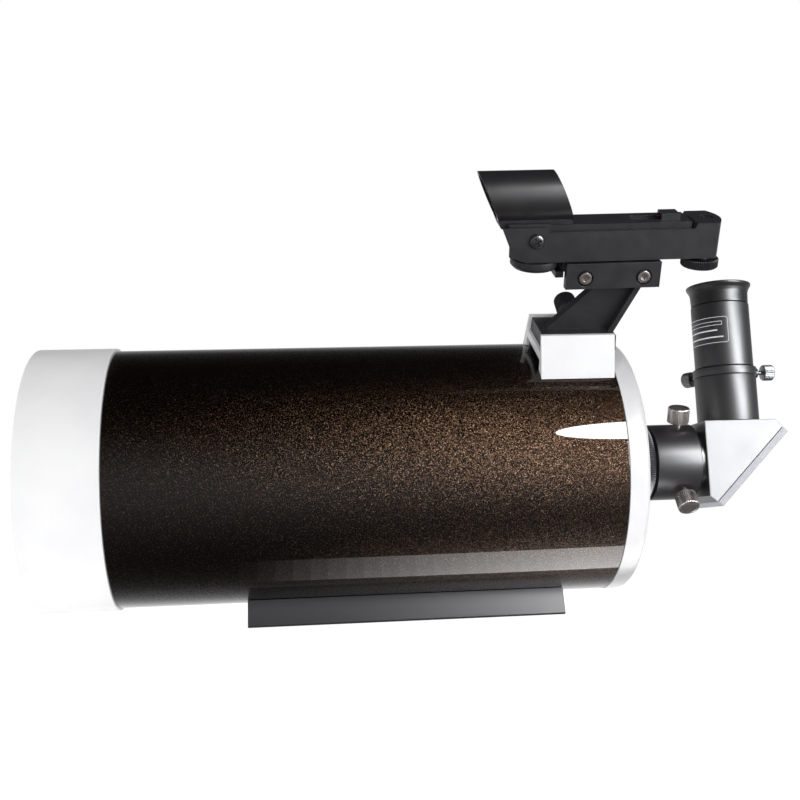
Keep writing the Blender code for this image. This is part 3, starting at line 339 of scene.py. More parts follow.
def flake_paint():
    """Black-brown paint full of fine gold flakes under a clear coat."""
    flake_size, flake_lean = 0.00029, 0.52
    paint = Finish("tube_paint", "tube_paint", (0.02, 0.016, 0.012), 0.42, 1.0,
                   Coat_Weight=1.0, Coat_Roughness=0.02)
    cells = paint.node("TexVoronoi", {"Scale": 1 / flake_size})
    paint.link(paint.coordinates, cells.inputs["Vector"])
    split = paint.node("SeparateColor")
    paint.link(cells.outputs["Color"], split.inputs["Color"])
    stops = [
        (0.00, (0.0072, 0.0043, 0.0029)),
        (0.40, (0.0100, 0.0056, 0.0036)),
        (0.66, (0.0200, 0.0110, 0.0068)),
        (0.84, (0.0360, 0.0190, 0.0112)),
        (0.95, (0.0720, 0.0430, 0.0260)),
        (1.00, (0.1800, 0.1250, 0.0780)),
    ]
    paint.link(paint.ramp(split.outputs["Red"], stops), paint.shader.inputs["Base Color"])
    # Every flake lies at its own small angle
    lean = paint.node("VectorMath", {1: (0.5, 0.5, 0.5)}, operation="SUBTRACT")
    paint.link(cells.outputs["Color"], lean.inputs[0])
    scaled = paint.node("VectorMath", {"Scale": flake_lean}, operation="SCALE")
    paint.link(lean.outputs["Vector"], scaled.inputs[0])
    total = paint.node("VectorMath", operation="ADD")
    paint.link(paint.node("NewGeometry").outputs["Normal"], total.inputs[0])
    paint.link(scaled.outputs["Vector"], total.inputs[1])
    unit = paint.node("VectorMath", operation="NORMALIZE")
    paint.link(total.outputs["Vector"], unit.inputs[0])
    paint.link(unit.outputs["Vector"], paint.shader.inputs["Normal"])
    return paint


RINGS_X = (60, 1, 1)  # stretches a texture into rings round the optical axis

TUBE = flake_paint()
WHITE = (
    Finish("white_paint", "white_paint", (0.86, 0.86, 0.87), 0.34, Coat_Weight=0.15)
    .mottle(60, 0.30, 0.42)
    .tint(25, (0.83, 0.83, 0.845), (0.89, 0.89, 0.895))
    .grain(900, 0.00003)
)
# The same white paint as the other white parts, made darker: painted shade standing in for the dimmer light
# on the diagonal's side plates
PLATE_WHITE_PAINTED_SHADE = (
    Finish("plate_white_painted_shade", "white_paint", (0.55, 0.56, 0.58), 0.42)
    .mottle(80, 0.38, 0.46)
    .tint(60, (0.540, 0.550, 0.575), (0.560, 0.570, 0.590))
    .grain(700, 0.00004)
)
COVER = (
    Finish("cover_paint", "white_paint", (0.43, 0.44, 0.48), 0.55)
    .mottle(80, 0.52, 0.58)
    .tint(90, (0.42, 0.43, 0.47), (0.44, 0.45, 0.49))
)
TURNED_X = (
    Finish("turned_black_along", "black_anodised", (0.014, 0.012, 0.016), 0.38, IOR=1.8)
    .mottle(60, 0.37, 0.39, (20, 1, 1))
    .tint(50, (0.015, 0.013, 0.017), (0.018, 0.016, 0.020))
    .grain(60, 0.00001, RINGS_X)
)
TURNED_Z = (
    Finish("turned_black_upright", "black_anodised", (0.008, 0.007, 0.009), 0.40, IOR=1.8)
    .mottle(20, 0.39, 0.41)
    .tint(40, (0.0070, 0.0062, 0.0080), (0.0085, 0.0078, 0.0095))
)
EXTRUDED = (
    Finish("extruded_black", "black_anodised", (0.026, 0.024, 0.028), 0.36, IOR=1.9)
    .mottle(60, 0.33, 0.40, (0.1, 1, 1))
    .tint(40, (0.023, 0.021, 0.025), (0.029, 0.027, 0.032), (0.2, 1, 1))
    .grain(120, 0.00003, (0.05, 8, 8))
)
PLASTIC = (
    Finish("black_plastic", "black_plastic", (0.020, 0.018, 0.021), 0.42, IOR=1.5)
    .mottle(140, 0.37, 0.47)
    .tint(60, (0.018, 0.016, 0.019), (0.022, 0.020, 0.023))
    .grain(1800, 0.00004)
)
SATIN = (
    Finish("satin_black", "black_anodised", (0.013, 0.012, 0.014), 0.31, IOR=2.0)
    .mottle(60, 0.30, 0.34)
    .tint(60, (0.012, 0.011, 0.013), (0.015, 0.014, 0.016))
    .grain(2400, 0.00002)
)
RUBBER = (
    Finish("black_rubber", "black_rubber", (0.006, 0.006, 0.006), 0.37, IOR=1.65)
    .mottle(60, 0.36, 0.38)
    .tint(60, (0.0055, 0.0050, 0.0055), (0.0070, 0.0065, 0.0070))
    .grain(2600, 0.00002)
)
NICKEL = (
    Finish("nickel_plate", "nickel", (0.60, 0.55, 0.52), 0.30, 1.0)
    .mottle(300, 0.26, 0.36)
    .tint(200, (0.54, 0.49, 0.46), (0.66, 0.61, 0.58))
    .grain(3000, 0.00001)
)
CHROME = (
    Finish("chrome_plate", "chrome", (0.34, 0.34, 0.36), 0.42, 1.0)
    .mottle(300, 0.38, 0.46)
    .tint(100, (0.30, 0.30, 0.32), (0.38, 0.38, 0.40))
)
BRASS = (
    Finish("brass_turned", "brass", (0.66, 0.47, 0.20), 0.30, 1.0)
    .mottle(200, 0.22, 0.38)
    .tint(150, (0.56, 0.39, 0.16), (0.72, 0.53, 0.25))
)
METAL = (
    Finish("machined_aluminium", None, (0.62, 0.62, 0.64), 0.34, 1.0)
    .mottle(200, 0.28, 0.42)
    .tint(80, (0.55, 0.55, 0.57), (0.68, 0.68, 0.70))
    .grain(60, 0.00003, RINGS_X)
)
GLASS = Finish("coated_glass", "coated_glass", (0.93, 0.99, 0.96), 0.01, Transmission_Weight=1.0, IOR=1.5,
               Specular_Tint=(0.55, 1.0, 0.72, 1)).mottle(12, 0.005, 0.02)
MIRROR = Finish("mirror_coating", "mirror_coating", (0.93, 0.93, 0.94), 0.02, 1.0).mottle(20, 0.01, 0.03)
FLAT_BLACK = (
    Finish("flat_black", "black_anodised", (0.010, 0.010, 0.011), 0.75)
    .mottle(200, 0.70, 0.85)
    .tint(100, (0.008, 0.008, 0.009), (0.014, 0.014, 0.015))
    .grain(2500, 0.0001)
)
LABEL_INK = (
    Finish("label_ink", "black_anodised", (0.75, 0.75, 0.76), 0.45)
    .mottle(300, 0.40, 0.55)
    .tint(300, (0.66, 0.66, 0.67), (0.80, 0.80, 0.81))
)
RED = Finish("red_led", "coated_glass", (0.016, 0.003, 0.003), 0.35).mottle(900, 0.10, 0.20)


# ------------------------------------------------------------------ optical tube

ALONG_X = OPTICAL @ pointing((0, 0, 0), (1, 0, 0))
ROOT = "telescope_tube"
FOCUS_Y, FOCUS_Z = 0.039, -0.022  # the focus rod, from the optical axis


def turned_x(name, outline, finish, replaces=(), body=ROOT, y=0.0, z=0.0, **shape):
    """A piece turned round an axis along X, (y, z) away from the optical axis."""
    mesh = lathe(outline, **shape)
    add(mesh, name, Matrix.Translation((0, y, z)) @ ALONG_X, finish, body, replaces)


def sag(radius, curve):
    return curve - math.sqrt(curve * curve - radius * radius)


def dome(vertex, curve, outer, steps):
    """A lens face's outline, from its middle out."""
    radii = [outer * i / steps for i in range(steps + 1)]
    return [(r, vertex - sag(r, curve), 0) for r in radii]


def optical_tube():
    turned_x("tube_skin", [(0.0700, -0.1576), (0.0720, -0.1576), (0.0720, 0.1142), (0.0700, 0.1142)],
             TUBE, ["main_tube"], segments=256)
    turned_x("tube_lining", [(0.0690, -0.1480), (0.0698, -0.1480), (0.0698, 0.1040), (0.0690, 0.1040)],
             FLAT_BLACK, segments=128)
    front = [
        (0.0734, -0.2007, 0.0014), (0.0734, -0.1579, 0.0005), (0.0696, -0.1579), (0.0696, -0.1488),
        (0.0615, -0.1488), (0.0615, -0.1674), (0.0652, -0.1674), (0.0652, -0.1820), (0.0676, -0.1820),
        (0.0676, -0.1992), (0.0686, -0.2007, 0.0008),
    ]
    turned_x("front_cell_skin", front, WHITE, ["front_cell"], segments=256)
    ring = [(0.0612, -0.1823), (0.0612, -0.1870), (0.0672, -0.1870), (0.0672, -0.1823)]
    slots = block((-0.0018, -0.080, -0.0015), (0.0018, 0.080, 0.0015))
    slots.transform(Matrix.Translation((0, 0, -0.1870)) @ Matrix.Rotation(math.radians(90), 4, "X"))
    mesh = cut(lathe(ring, 0.0004, 2, 192), slots)
    add(mesh, "lens_ring_skin", ALONG_X, SATIN, ROOT, ["lens_retaining_ring"])
    lens = dome(-0.1687, 0.170, 0.0648, 24) + dome(-0.1567, 0.175, 0.0648, 24)[::-1]
    turned_x("lens_skin", lens, GLASS, ["meniscus_lens"], segments=192)
    spot = dome(-0.1565, 0.175, 0.0150, 8) + dome(-0.1563, 0.175, 0.0150, 8)[::-1]
    turned_x("secondary_spot", spot, MIRROR, segments=96)
    cone = [(0.0160, -0.1570), (0.0172, -0.1570), (0.0205, -0.1350), (0.0193, -0.1350)]
    turned_x("secondary_baffle_skin", cone, FLAT_BLACK, ["secondary_baffle"])
    baffle = [(0.0135, -0.0400), (0.0150, -0.0400), (0.0150, 0.1300), (0.0135, 0.1300)]
    turned_x("primary_baffle_skin", baffle, FLAT_BLACK, ["primary_baffle_tube"])


def rear_end():
    shell = [
        (0.0723, 0.1145), (0.0723, 0.1264, 0.0060), (0.0270, 0.1264, 0.0008), (0.0270, 0.1285, 0.0006),
        (0.0200, 0.1285), (0.0200, 0.1367), (0.0165, 0.1367), (0.0165, 0.1303), (0.0153, 0.1303),
        (0.0153, 0.1180), (0.0670, 0.1180), (0.0670, 0.1054), (0.0696, 0.1054), (0.0696, 0.1145),
    ]
    turned_x("rear_cell_skin", shell, WHITE, ["rear_cell"], segments=256, steps=8)
    for index, angle in enumerate((30, 150, 270), 1):
        y, z = 0.0340 * math.cos(math.radians(angle)), 0.0340 * math.sin(math.radians(angle))
        screw = [(0, 0.1190, 0), (0.0016, 0.1190), (0.0016, 0.1267), (0.0032, 0.1267),
                 (0.0032, 0.1297, 0.0006), (0.0015, 0.1297, 0), (0.0015, 0.1279, 0), (0, 0.1279, 0)]
        turned_x(f"collimation_screw_skin_{index}", screw, NICKEL, [f"collimation_screw_{index}"], y=y, z=z,
                 segments=48, ripple=hexed(0.92, 0.00155))
    bushing = [(0.0028, 0.1175), (0.0060, 0.1175), (0.0060, 0.1267), (0.0090, 0.1267), (0.0090, 0.1282),
               (0.0028, 0.1282)]
    turned_x("focus_bushing_skin", bushing, BRASS, ["focus_bushing"], y=FOCUS_Y, z=FOCUS_Z, segments=64)
    knob = [(0, 0.1540, 0), (0.0098, 0.1540), (0.0102, 0.1536), (0.0126, 0.1536), (0.0130, 0.1526),
            (0.0130, 0.1306), (0.0122, 0.1296), (0.0112, 0.1286), (0.0030, 0.1286), (0.0030, 0.1500),
            (0, 0.1500, 0)]
    turned_x("focus_knob_skin", knob, RUBBER, ["focus_knob"], "focus_knob", FOCUS_Y, FOCUS_Z,
             segments=240, ripple=knurl(30, 0.0007, 0.0130, 0.1312, 0.1522))
    ring = [(0.02035, 0.1290), (0.0238, 0.1290, 0.0006), (0.0238, 0.1441, 0.0002), (0.0224, 0.1455, 0.0002),
            (0.0187, 0.1455), (0.0187, 0.1419), (0.02035, 0.1419)]
    turned_x("lock_ring_skin", ring, SATIN, ["lock_ring"], "lock_ring",
             segments=864, ripple=knurl(108, 0.0010, 0.0238, 0.1292, 0.1450))
    back = [(0.0162, 0.1370), (0.0200, 0.1370), (0.0200, 0.1415), (0.0183, 0.1415), (0.0183, 0.1475),
            (0.0223, 0.1475, 0.0003), (0.0223, 0.1731, 0.0002), (0.0218, 0.1736, 0.0002), (0.0162, 0.1736)]
    turned_x("visual_back_skin", back, TURNED_X, ["visual_back"], segments=192)
    for name, angle in (("upper", 25.0), ("lower", 145.0)):
        out = (0, -math.sin(math.radians(angle)), math.cos(math.radians(angle)))
        thumbscrew(f"visual_back_screw_{name}", OPTICAL @ pointing((0.1644, 0, 0), out), 0.0166, 0.0020,
                   0.00625, 0.0250, 0.0340, 34, NICKEL, f"back_screw_{name}")


def thumbscrew(node, matrix, tip, shank, head, start, end, teeth, finish, body):
    """A straight-knurled screw with a chamfered head and a shallow turned face."""
    outline = [(0, tip, 0), (shank, tip, 0.0005), (shank, start, 0.0003), (head - 0.0004, start, 0.0001),
               (head, start + 0.0005, 0.0001), (head, end - 0.0005, 0.0001), (head - 0.0004, end, 0.0002),
               (head - 0.0011, end, 0.0001), (head - 0.0013, end - 0.00015, 0.0001), (0, end - 0.0001, 0)]
    ripple = knurl(teeth, 0.05 * head, head, start + 0.0004, end - 0.0004)
    mesh = lathe(outline, 0.0002, 2, teeth * 8, ripple)
    add(mesh, node + "_skin", matrix, finish, body, [node])


# ------------------------------------------------------------------ star diagonal

SLANT = OPTICAL @ Matrix.Translation((EYE_X, 0, 0)) @ Matrix.Rotation(math.radians(-45), 4, "Y")
SEAM_DEPTH = 0.0068 / math.sqrt(2)
BARREL_R = 0.015875  # half of the 31.75 mm push fit


def wedge():
    """The diagonal's side view, over the optical axis."""
    return [(0.1776, -0.0213), (0.1817, -0.0248), (0.2244, 0.0179), (0.2203, 0.0222), (0.1776, 0.0222)]


def slab(front, back, half_length, half_width):
    return block((-half_length, -half_width, -back), (half_length, half_width, -front))


def star_diagonal():
    nose = [(0.0144, 0.1490), (BARREL_R, 0.1490, 0.0004), (BARREL_R, 0.1560), (0.0151, 0.1568),
            (0.0151, 0.1628), (BARREL_R, 0.1636), (BARREL_R, 0.1800), (0.0144, 0.1800)]
    turned_x("nosepiece_skin", nose, CHROME, ["diagonal_nosepiece"], "nosepiece", segments=128)
    core = extrude(wedge(), -0.0180, 0.0180)
    collar = drill(0.0175, 0.1742, 0.1786, axis=(1, 0, 0), segments=96)
    nose_bore = plug([(0, 0.1700), (0.0162, 0.1700), (0.0162, 0.1803), (0.0140, 0.1803), (0.0140, EYE_X),
                      (0, EYE_X)], pointing((0, 0, 0), (1, 0, 0)), 64)
    eye_bore = plug([(0, 0), (0.0134, 0), (0.0134, 0.0167), (0.0160, 0.0167), (0.0160, 0.0300),
                     (0, 0.0300)], Matrix.Translation((EYE_X, 0, 0)), 64)
    pocket = slab(-0.0060, 0.0200, 0.0223, 0.0153)
    pocket.transform(OPTICAL.inverted() @ SLANT)
    housing = cut(join(core, collar), pocket, nose_bore, eye_bore)
    soften(add(housing, "diagonal_housing_skin", OPTICAL, SATIN, "diagonal", ["diagonal_housing"]), 0.0003)
    for name, low, high in (("near", -0.0195, -0.0183), ("far", 0.0183, 0.0195)):
        plate = extrude(wedge(), low, high)
        # the side plates' darker white is painted shade
        plate = add(plate, f"diagonal_plate_skin_{name}", OPTICAL, PLATE_WHITE_PAINTED_SHADE, "diagonal",
                    [f"diagonal_plate_{name}"])
        soften(plate, 0.00035, 3)
    cover = slab(SEAM_DEPTH + 0.0003, SEAM_DEPTH + 0.0043, 0.0300, 0.0195)
    corners = [(i, j, (2 * i - 1) * 0.0262, (2 * j - 1) * 0.0145) for i in (0, 1) for j in (0, 1)]
    holes = [drill(0.0021, -0.0100, -SEAM_DEPTH - 0.0036, (x, y, 0), segments=32) for _, _, x, y in corners]
    piece = add(cut(cover, *holes), "diagonal_cover_skin", SLANT, COVER, "diagonal", ["diagonal_cover"])
    soften(piece, 0.0005, 3)
    for i, j, x, y in corners:
        at = SLANT @ Matrix.Translation((x, y, -SEAM_DEPTH - 0.0041)) @ Matrix.Rotation(math.pi, 4, "X")
        add(cross_head(0.0019, 0.0005), f"cover_screw_{i}{j}", at, NICKEL, "diagonal")
    add(slab(0.0003, 0.0043, 0.0220, 0.0150), "diagonal_mirror_skin", SLANT, MIRROR, "diagonal",
        ["diagonal_mirror"])


def cross_head(radius, height):
    """A domed screw head with a cross recess, its top along +Z."""
    dome_steps = 5
    outline = [(0, -height, 0), (radius, -height, 0)]
    for i in range(dome_steps + 1):
        angle = math.radians(90 * i / dome_steps)
        across = radius * math.cos(angle) ** 0.7 if i < dome_steps else 0
        outline.append((across, height * math.sin(angle), 0))
    head = lathe(outline, 0, 1, 40)
    arm, half, depth = radius * 0.62, radius * 0.13, height * 0.9
    for size in ((arm, half), (half, arm)):
        head = cut(head, block((-size[0], -size[1], height - depth), (size[0], size[1], height * 2)))
    return head


# ------------------------------------------------------------------ eyepiece and its holder

UPRIGHT = OPTICAL @ Matrix.Translation((EYE_X, 0, 0))
EYEPIECE = "eyepiece"
HOLDER_SCREW_Z = 0.0525


def upright(name, outline, finish, replaces=(), **shape):
    add(lathe(outline, **shape), name, UPRIGHT, finish, EYEPIECE, replaces)


def eyepiece_holder():
    tube = [(0.0140, 0.0170), (0.0157, 0.0170), (0.0157, 0.0225), (0.0179, 0.0225), (0.0179, 0.0496, 0.0001),
            (0.0175, 0.0498, 0.0001), (0.0175, 0.0501, 0.0001), (0.0185, 0.0503, 0.0003),
            (0.0185, 0.0548, 0.0004), (0.0181, 0.0551, 0.0002), (0.0162, 0.0551), (0.0162, 0.0230),
            (0.0140, 0.0230)]
    mesh = lathe(tube, 0.0003, 3, 192)
    side = math.radians(120)
    ways = {"rear": (1, 0, 0), "side": (math.cos(side), math.sin(side), 0)}
    for out in ways.values():
        boss = [(0, 0.0172), (0.0032, 0.0172), (0.0030, 0.0200), (0.0026, 0.0203), (0, 0.0203)]
        boss = lathe(boss, 0.0002, 2, 40)
        boss.transform(pointing((0, 0, HOLDER_SCREW_Z), out))
        mesh = join(mesh, boss)
        mesh = cut(mesh, drill(0.0015, 0.010, 0.030, (0, 0, HOLDER_SCREW_Z), out, 32))
    add(mesh, "eyepiece_holder_skin", UPRIGHT, TURNED_Z, "diagonal", ["eyepiece_holder"])
    for name, out in ways.items():
        thumbscrew(f"holder_screw_{name}", UPRIGHT @ pointing((0, 0, HOLDER_SCREW_Z), out), 0.0167, 0.00115,
                   0.00475, 0.0236, 0.0298, 28, CHROME, f"holder_screw_{name}")


def eyepiece():
    barrel = [(0.0140, 0.0300), (0.0144, 0.0300), (BARREL_R, 0.0304, 0.0003), (BARREL_R, 0.0380),
              (0.0153, 0.0386), (0.0153, 0.0440), (BARREL_R, 0.0446), (BARREL_R, 0.0601), (0.0140, 0.0601)]
    upright("eyepiece_barrel_skin", barrel, CHROME, ["eyepiece_barrel"], segments=128)
    body = [(0.0162, 0.0554), (0.0166, 0.0554, 0.0002), (0.0170, 0.0558, 0.0002), (0.0170, 0.0936, 0.0003),
            (0.0167, 0.0940, 0.0002), (0.0140, 0.0940), (0.0140, 0.0985), (0.0118, 0.0985), (0.0118, 0.0890),
            (0.0105, 0.0890), (0.0105, 0.0700), (0.0125, 0.0700), (0.0125, 0.0604), (0.0162, 0.0604)]
    upright("eyepiece_body_skin", body, TURNED_Z, ["eyepiece_body"], segments=192)
    bulge, steps = 0.0012, 10
    for name, radius, base, top in (
        ("field_lens", 0.0122, 0.0630, 0.0660),
        ("eye_lens", 0.0115, 0.0912, 0.0945),
    ):
        upper = [(radius * i / steps, top + bulge * (1 - (i / steps) ** 2), 0) for i in range(steps + 1)]
        lower = [(radius * i / steps, base - bulge * (1 - (i / steps) ** 2), 0) for i in range(steps + 1)]
        upright(name + "_skin", upper + lower[::-1], GLASS, [name], segments=96)
    cup = [
        (0.0167, 0.0943, 0.0002), (0.01675, 0.0960, 0.0001), (0.0169, 0.0996, 0.0002),
        (0.0170, 0.1012, 0.0010), (0.0176, 0.1030, 0.0020), (0.0188, 0.1049, 0.0008),
        (0.0190, 0.1056, 0.0003), (0.0190, 0.1061, 0.0003), (0.0187, 0.1064, 0.0003),
        (0.0178, 0.1062, 0.0006), (0.0160, 0.1036, 0.0030), (0.0146, 0.1008, 0.0008),
        (0.0118, 0.0999, 0.0003), (0.0118, 0.0988), (0.0143, 0.0988), (0.0143, 0.0943),
    ]
    upright("eyecup_skin", cup, RUBBER, ["eyecup"], segments=192)
    ring = [(0.0112, 0.0972), (0.01175, 0.0972), (0.01175, 0.0984), (0.0107, 0.0984)]
    upright("eye_lens_ring", ring, SATIN, segments=96)
    label(0.01703, 141.9, 262.9, 0.0685, 0.0853)


def wrap(radius, azimuth, height):
    return (radius * math.cos(azimuth), radius * math.sin(azimuth), height)


def curved_strip(name, radius, start, end, low, high, thickness, finish, steps=48):
    """A thin patch wrapped on the eyepiece, between two azimuths and two heights."""
    section = ((radius, low), (radius, high), (radius + thickness, high), (radius + thickness, low))
    built = bmesh.new()
    columns = []
    for i in range(steps + 1):
        angle = math.radians(start + (end - start) * i / steps)
        columns.append([built.verts.new(wrap(r, angle, h)) for r, h in section])
    for a, b in zip(columns, columns[1:]):
        for i in range(4):
            built.faces.new((a[i], b[i], b[(i + 1) % 4], a[(i + 1) % 4]))
    built.faces.new(columns[0])
    built.faces.new(columns[-1])
    add(to_mesh(built), name, UPRIGHT, finish, EYEPIECE)


def wrapped_frame(name, radius, box, corner, line, thickness, finish):
    """A rounded rectangle's outline wrapped on the eyepiece. The box is azimuths in degrees and heights."""
    start, end, low, high = box
    across = math.radians(end - start) * radius
    corner_points, corner_step, straight_pieces, corner_pieces = 7, 15, 24, 2
    loops = []
    for inset in (0, line):
        loop = []
        u0, u1, v0, v1 = inset, across - inset, low + inset, high - inset
        r = max(corner - inset, 0.0001)
        centres = ((u1 - r, v1 - r, 0), (u0 + r, v1 - r, 90), (u0 + r, v0 + r, 180), (u1 - r, v0 + r, 270))
        for cu, cv, first in centres:
            for step in range(corner_points):
                angle = math.radians(first + corner_step * step)
                loop.append((cu + r * math.cos(angle), cv + r * math.sin(angle)))
        fine = []
        for i, (a, b) in enumerate(zip(loop, loop[1:] + loop[:1])):
            pieces = straight_pieces if i % corner_points == corner_points - 1 else corner_pieces
            for k in range(pieces):
                fine.append((a[0] + (b[0] - a[0]) * k / pieces, a[1] + (b[1] - a[1]) * k / pieces))
        loops.append(fine)
    outer, inner = loops
    top = radius + thickness
    rings = []
    for loop, r in ((outer, radius), (outer, top), (inner, top), (inner, radius)):
        rings.append([wrap(r, math.radians(start) + u / radius, v) for u, v in loop])
    add(stitch(rings), name, UPRIGHT, finish, EYEPIECE)


def label(radius, start, end, low, high):
    """A plain black badge with a thin light border and three plain marks, and no lettering."""
    field, thick, line, margin = 0.00005, 0.00004, 0.0003, 0.0006
    curved_strip("label_field", radius, start, end, low, high, field, SATIN)
    face = radius + field
    inset = math.degrees(margin / radius)
    border = (start + inset, end - inset, low + margin, high - margin)
    wrapped_frame("label_border", face, border, 0.0016, line, thick, LABEL_INK)
    middle, reach = (start + end) / 2, (end - start) / 2
    mark = (middle - 0.8 * reach, middle + 0.78 * reach, 0.0797, 0.0821)
    wrapped_frame("label_mark_top", face, mark, 0.0004, line, thick, LABEL_INK)
    for index, (height, length) in enumerate(((0.0767, 0.62), (0.0726, 0.80))):
        left, right, half = middle - length * reach, middle + length * reach, 0.0004
        curved_strip(f"label_mark_{index}", face, left, right, height - half, height + half, thick, LABEL_INK)


# ------------------------------------------------------------------ dovetail bar


def dovetail():
    hollow = saddle(0.01836, -90, 24, AXIS_Z)
    outline = [(-0.0210, 0), (0.0210, 0), (0.0220, 0.0010), *hollow, (-0.0220, 0.0010)]
    bar = extrude(outline, -0.0879, 0.0879, "YZ")
    ends = {"front": -0.060, "rear": 0.060}
    for x in ends.values():
        bar = cut(bar, plug([(0, -0.0020), (0.0056, -0.0020), (0.0056, 0.0062), (0.0034, 0.0062),
                             (0.0034, 0.0200), (0, 0.0200)], Matrix.Translation((x, 0, 0))))
    soften(add(bar, "dovetail_bar_skin", WORLD, EXTRUDED, ROOT, ["dovetail_bar"]), 0.0005, 3)
    for name, x in ends.items():
        bolt = [(0, 0.0036, 0), (0.0024, 0.0036, 0), (0.0024, 0.0010, 0), (0.0052, 0.0010, 0.0006),
                (0.0052, 0.0059), (0.0030, 0.0059), (0.0030, 0.0195), (0, 0.0195, 0)]
        mesh = lathe(bolt, 0.0002, 3, 72, hexed(0.94, 0.00245))
        add(mesh, f"dovetail_bolt_skin_{name}", Matrix.Translation((x, 0, 0)), SATIN, ROOT,
            [f"dovetail_bolt_{name}"])


# ------------------------------------------------------------------ finder shoe

SHOE = (0.0727, 0.1131)
SHOE_BOLTS = {"front": SHOE[0] + 0.0115, "rear": SHOE[1] - 0.0115}


def finder_shoe():
    outline = [*saddle(0.0240, 90, 16), (0.0246, 0.0681), (0.0160, 0.0898), (0.0140, 0.0898),
               (0.0165, 0.0803), (-0.0165, 0.0803), (-0.0140, 0.0898), (-0.0160, 0.0898), (-0.0246, 0.0681)]
    shoe = extrude(outline, *SHOE, plane="YZ")
    shoe = cut(shoe, block((0.05, -0.0165, 0.060), (0.15, 0.0165, 0.0760)))
    for x in SHOE_BOLTS.values():
        shoe = cut(shoe, plug([(0, 0.0700), (0.0023, 0.0700), (0.0023, 0.0776), (0.0044, 0.0776),
                               (0.0044, 0.0900), (0, 0.0900)], Matrix.Translation((x, 0, 0)), 40))
    lean = math.atan2(0.0068, 0.0211)
    at, out = (0.0979, 0.0179, 0.0840), (0, math.cos(lean), math.sin(lean))
    shoe = cut(shoe, drill(0.0022, -0.0060, 0.0060, at, out))
    soften(add(shoe, "finder_shoe_skin", SIDE, WHITE, ROOT, ["finder_shoe"]), 0.0005, 3)
    outline = [*saddle(0.0162, 90, 16), (0.0162, 0.0757), (-0.0162, 0.0757)]
    pad = extrude(outline, SHOE[0] + 0.0015, SHOE[1] - 0.0015, "YZ")
    soften(add(pad, "finder_shoe_pad_skin", SIDE, RUBBER, ROOT, ["finder_shoe_pad"]), 0.0003)
    for name, x in SHOE_BOLTS.items():
        place = SIDE @ Matrix.Translation((x, 0, 0.0789))
        add(cross_head(0.0040, 0.0009), f"shoe_bolt_skin_{name}", place, NICKEL, ROOT, [f"shoe_bolt_{name}"])
    thumbscrew("shoe_thumbscrew", SIDE @ pointing(at, out), -0.0020, 0.0018, 0.0062, 0.0095, 0.0200, 44,
               PLASTIC, "shoe_thumbscrew")


# ------------------------------------------------------------------ finder bracket and clamp

CLAMP = (0.0841, 0.1353)
CLAMP_SCREWS = {"front": 0.0945, "rear": 0.1263}
CLAMP_SCREW_Z = 0.1212
MOUNT = "finder_mount"
NEAR, FAR = (0, -1, 0), (0, 1, 0)


def finder_bracket():
    lean = 0.0025 / 0.0095
    base, top = 0.0807, 0.0885
    half_base = 0.0165 - lean * 0.0004 - 0.0004
    half_top = half_base - lean * (top - base)
    foot = extrude([(-half_base, base), (half_base, base), (half_top, top), (-half_top, top)],
                   0.0742, 0.1146, "YZ")
    web = extrude([(0.0770, 0.0870), (0.1132, 0.0870), (0.1278, 0.1170), (0.1075, 0.1170)], -0.0030, 0.0030)
    flange = extrude([(0.1110, 0.0870), (0.1142, 0.0870), (0.1288, 0.1170), (0.1256, 0.1170)],
                     -0.0079, 0.0079)
    head = extrude([(-0.0080, 0.1152), (0.0130, 0.1152), (0.0130, 0.1293), (0.0084, 0.1293),
                    (0.0084, 0.1232), (-0.0080, 0.1232)], CLAMP[0] + 0.0067, CLAMP[1], "YZ")
    head.transform(SIDE.inverted() @ TIPPED)
    bracket = join(foot, web, flange, head)
    soften(add(bracket, "finder_bracket_skin", SIDE, PLASTIC, MOUNT, ["finder_bracket"]), 0.0005, 3)


def clamp():
    jaw = extrude([(CLAMP[0], 0.1152), (CLAMP[1], 0.1152), (CLAMP[1], 0.1293), (CLAMP[0], 0.1293)],
                  -0.0130, -0.0083)
    for name, x in CLAMP_SCREWS.items():
        at = (x, 0, CLAMP_SCREW_Z)
        recess = plug([(0, 0.0111), (0.0042, 0.0111), (0.0046, 0.0150), (0, 0.0150)], pointing(at, NEAR))
        jaw = cut(jaw, recess, drill(0.0018, 0.004, 0.016, at, NEAR))
        screw = [(0, 0.0010, 0), (0.0015, 0.0010), (0.0015, 0.0108), (0.0034, 0.0108),
                 (0.0034, 0.0136, 0.0006), (0.0016, 0.0136, 0.0002), (0.0015, 0.0118, 0), (0, 0.0118, 0)]
        mesh = lathe(screw, 0.0002, 3, 60, hexed(0.92, 0.00165))
        add(mesh, f"clamp_screw_skin_{name}", TIPPED @ pointing(at, NEAR), NICKEL, MOUNT,
            [f"clamp_screw_{name}"])
    soften(add(jaw, "clamp_jaw_skin", TIPPED, PLASTIC, MOUNT, ["clamp_jaw"]), 0.0004, 3)
    rail = join(block((0.0828, -0.0078, 0.1235), (CLAMP[1], 0.0078, 0.1298)),
                block((0.0795, -0.0078, 0.1203), (0.0838, 0.0078, 0.1237)),
                drill(0.0030, 0.1245, 0.1322, (0.1290, 0, 0)))
    soften(add(rail, "finder_rail_skin", TIPPED, PLASTIC, MOUNT, ["finder_rail"]), 0.0004)
    thumbscrew("azimuth_knob", TIPPED @ pointing((0.1000, 0, 0.1262), FAR), 0.0086, 0.0015, 0.0058,
               0.0137, 0.0190, 36, PLASTIC, "azimuth_knob")


# ------------------------------------------------------------------ finder carriage

CARRIAGE = "finder_carriage"
PITCH_X, PITCH_Z = 0.0673, 0.1419  # the pivot that the finder tips on
WHEEL_X = 0.1608


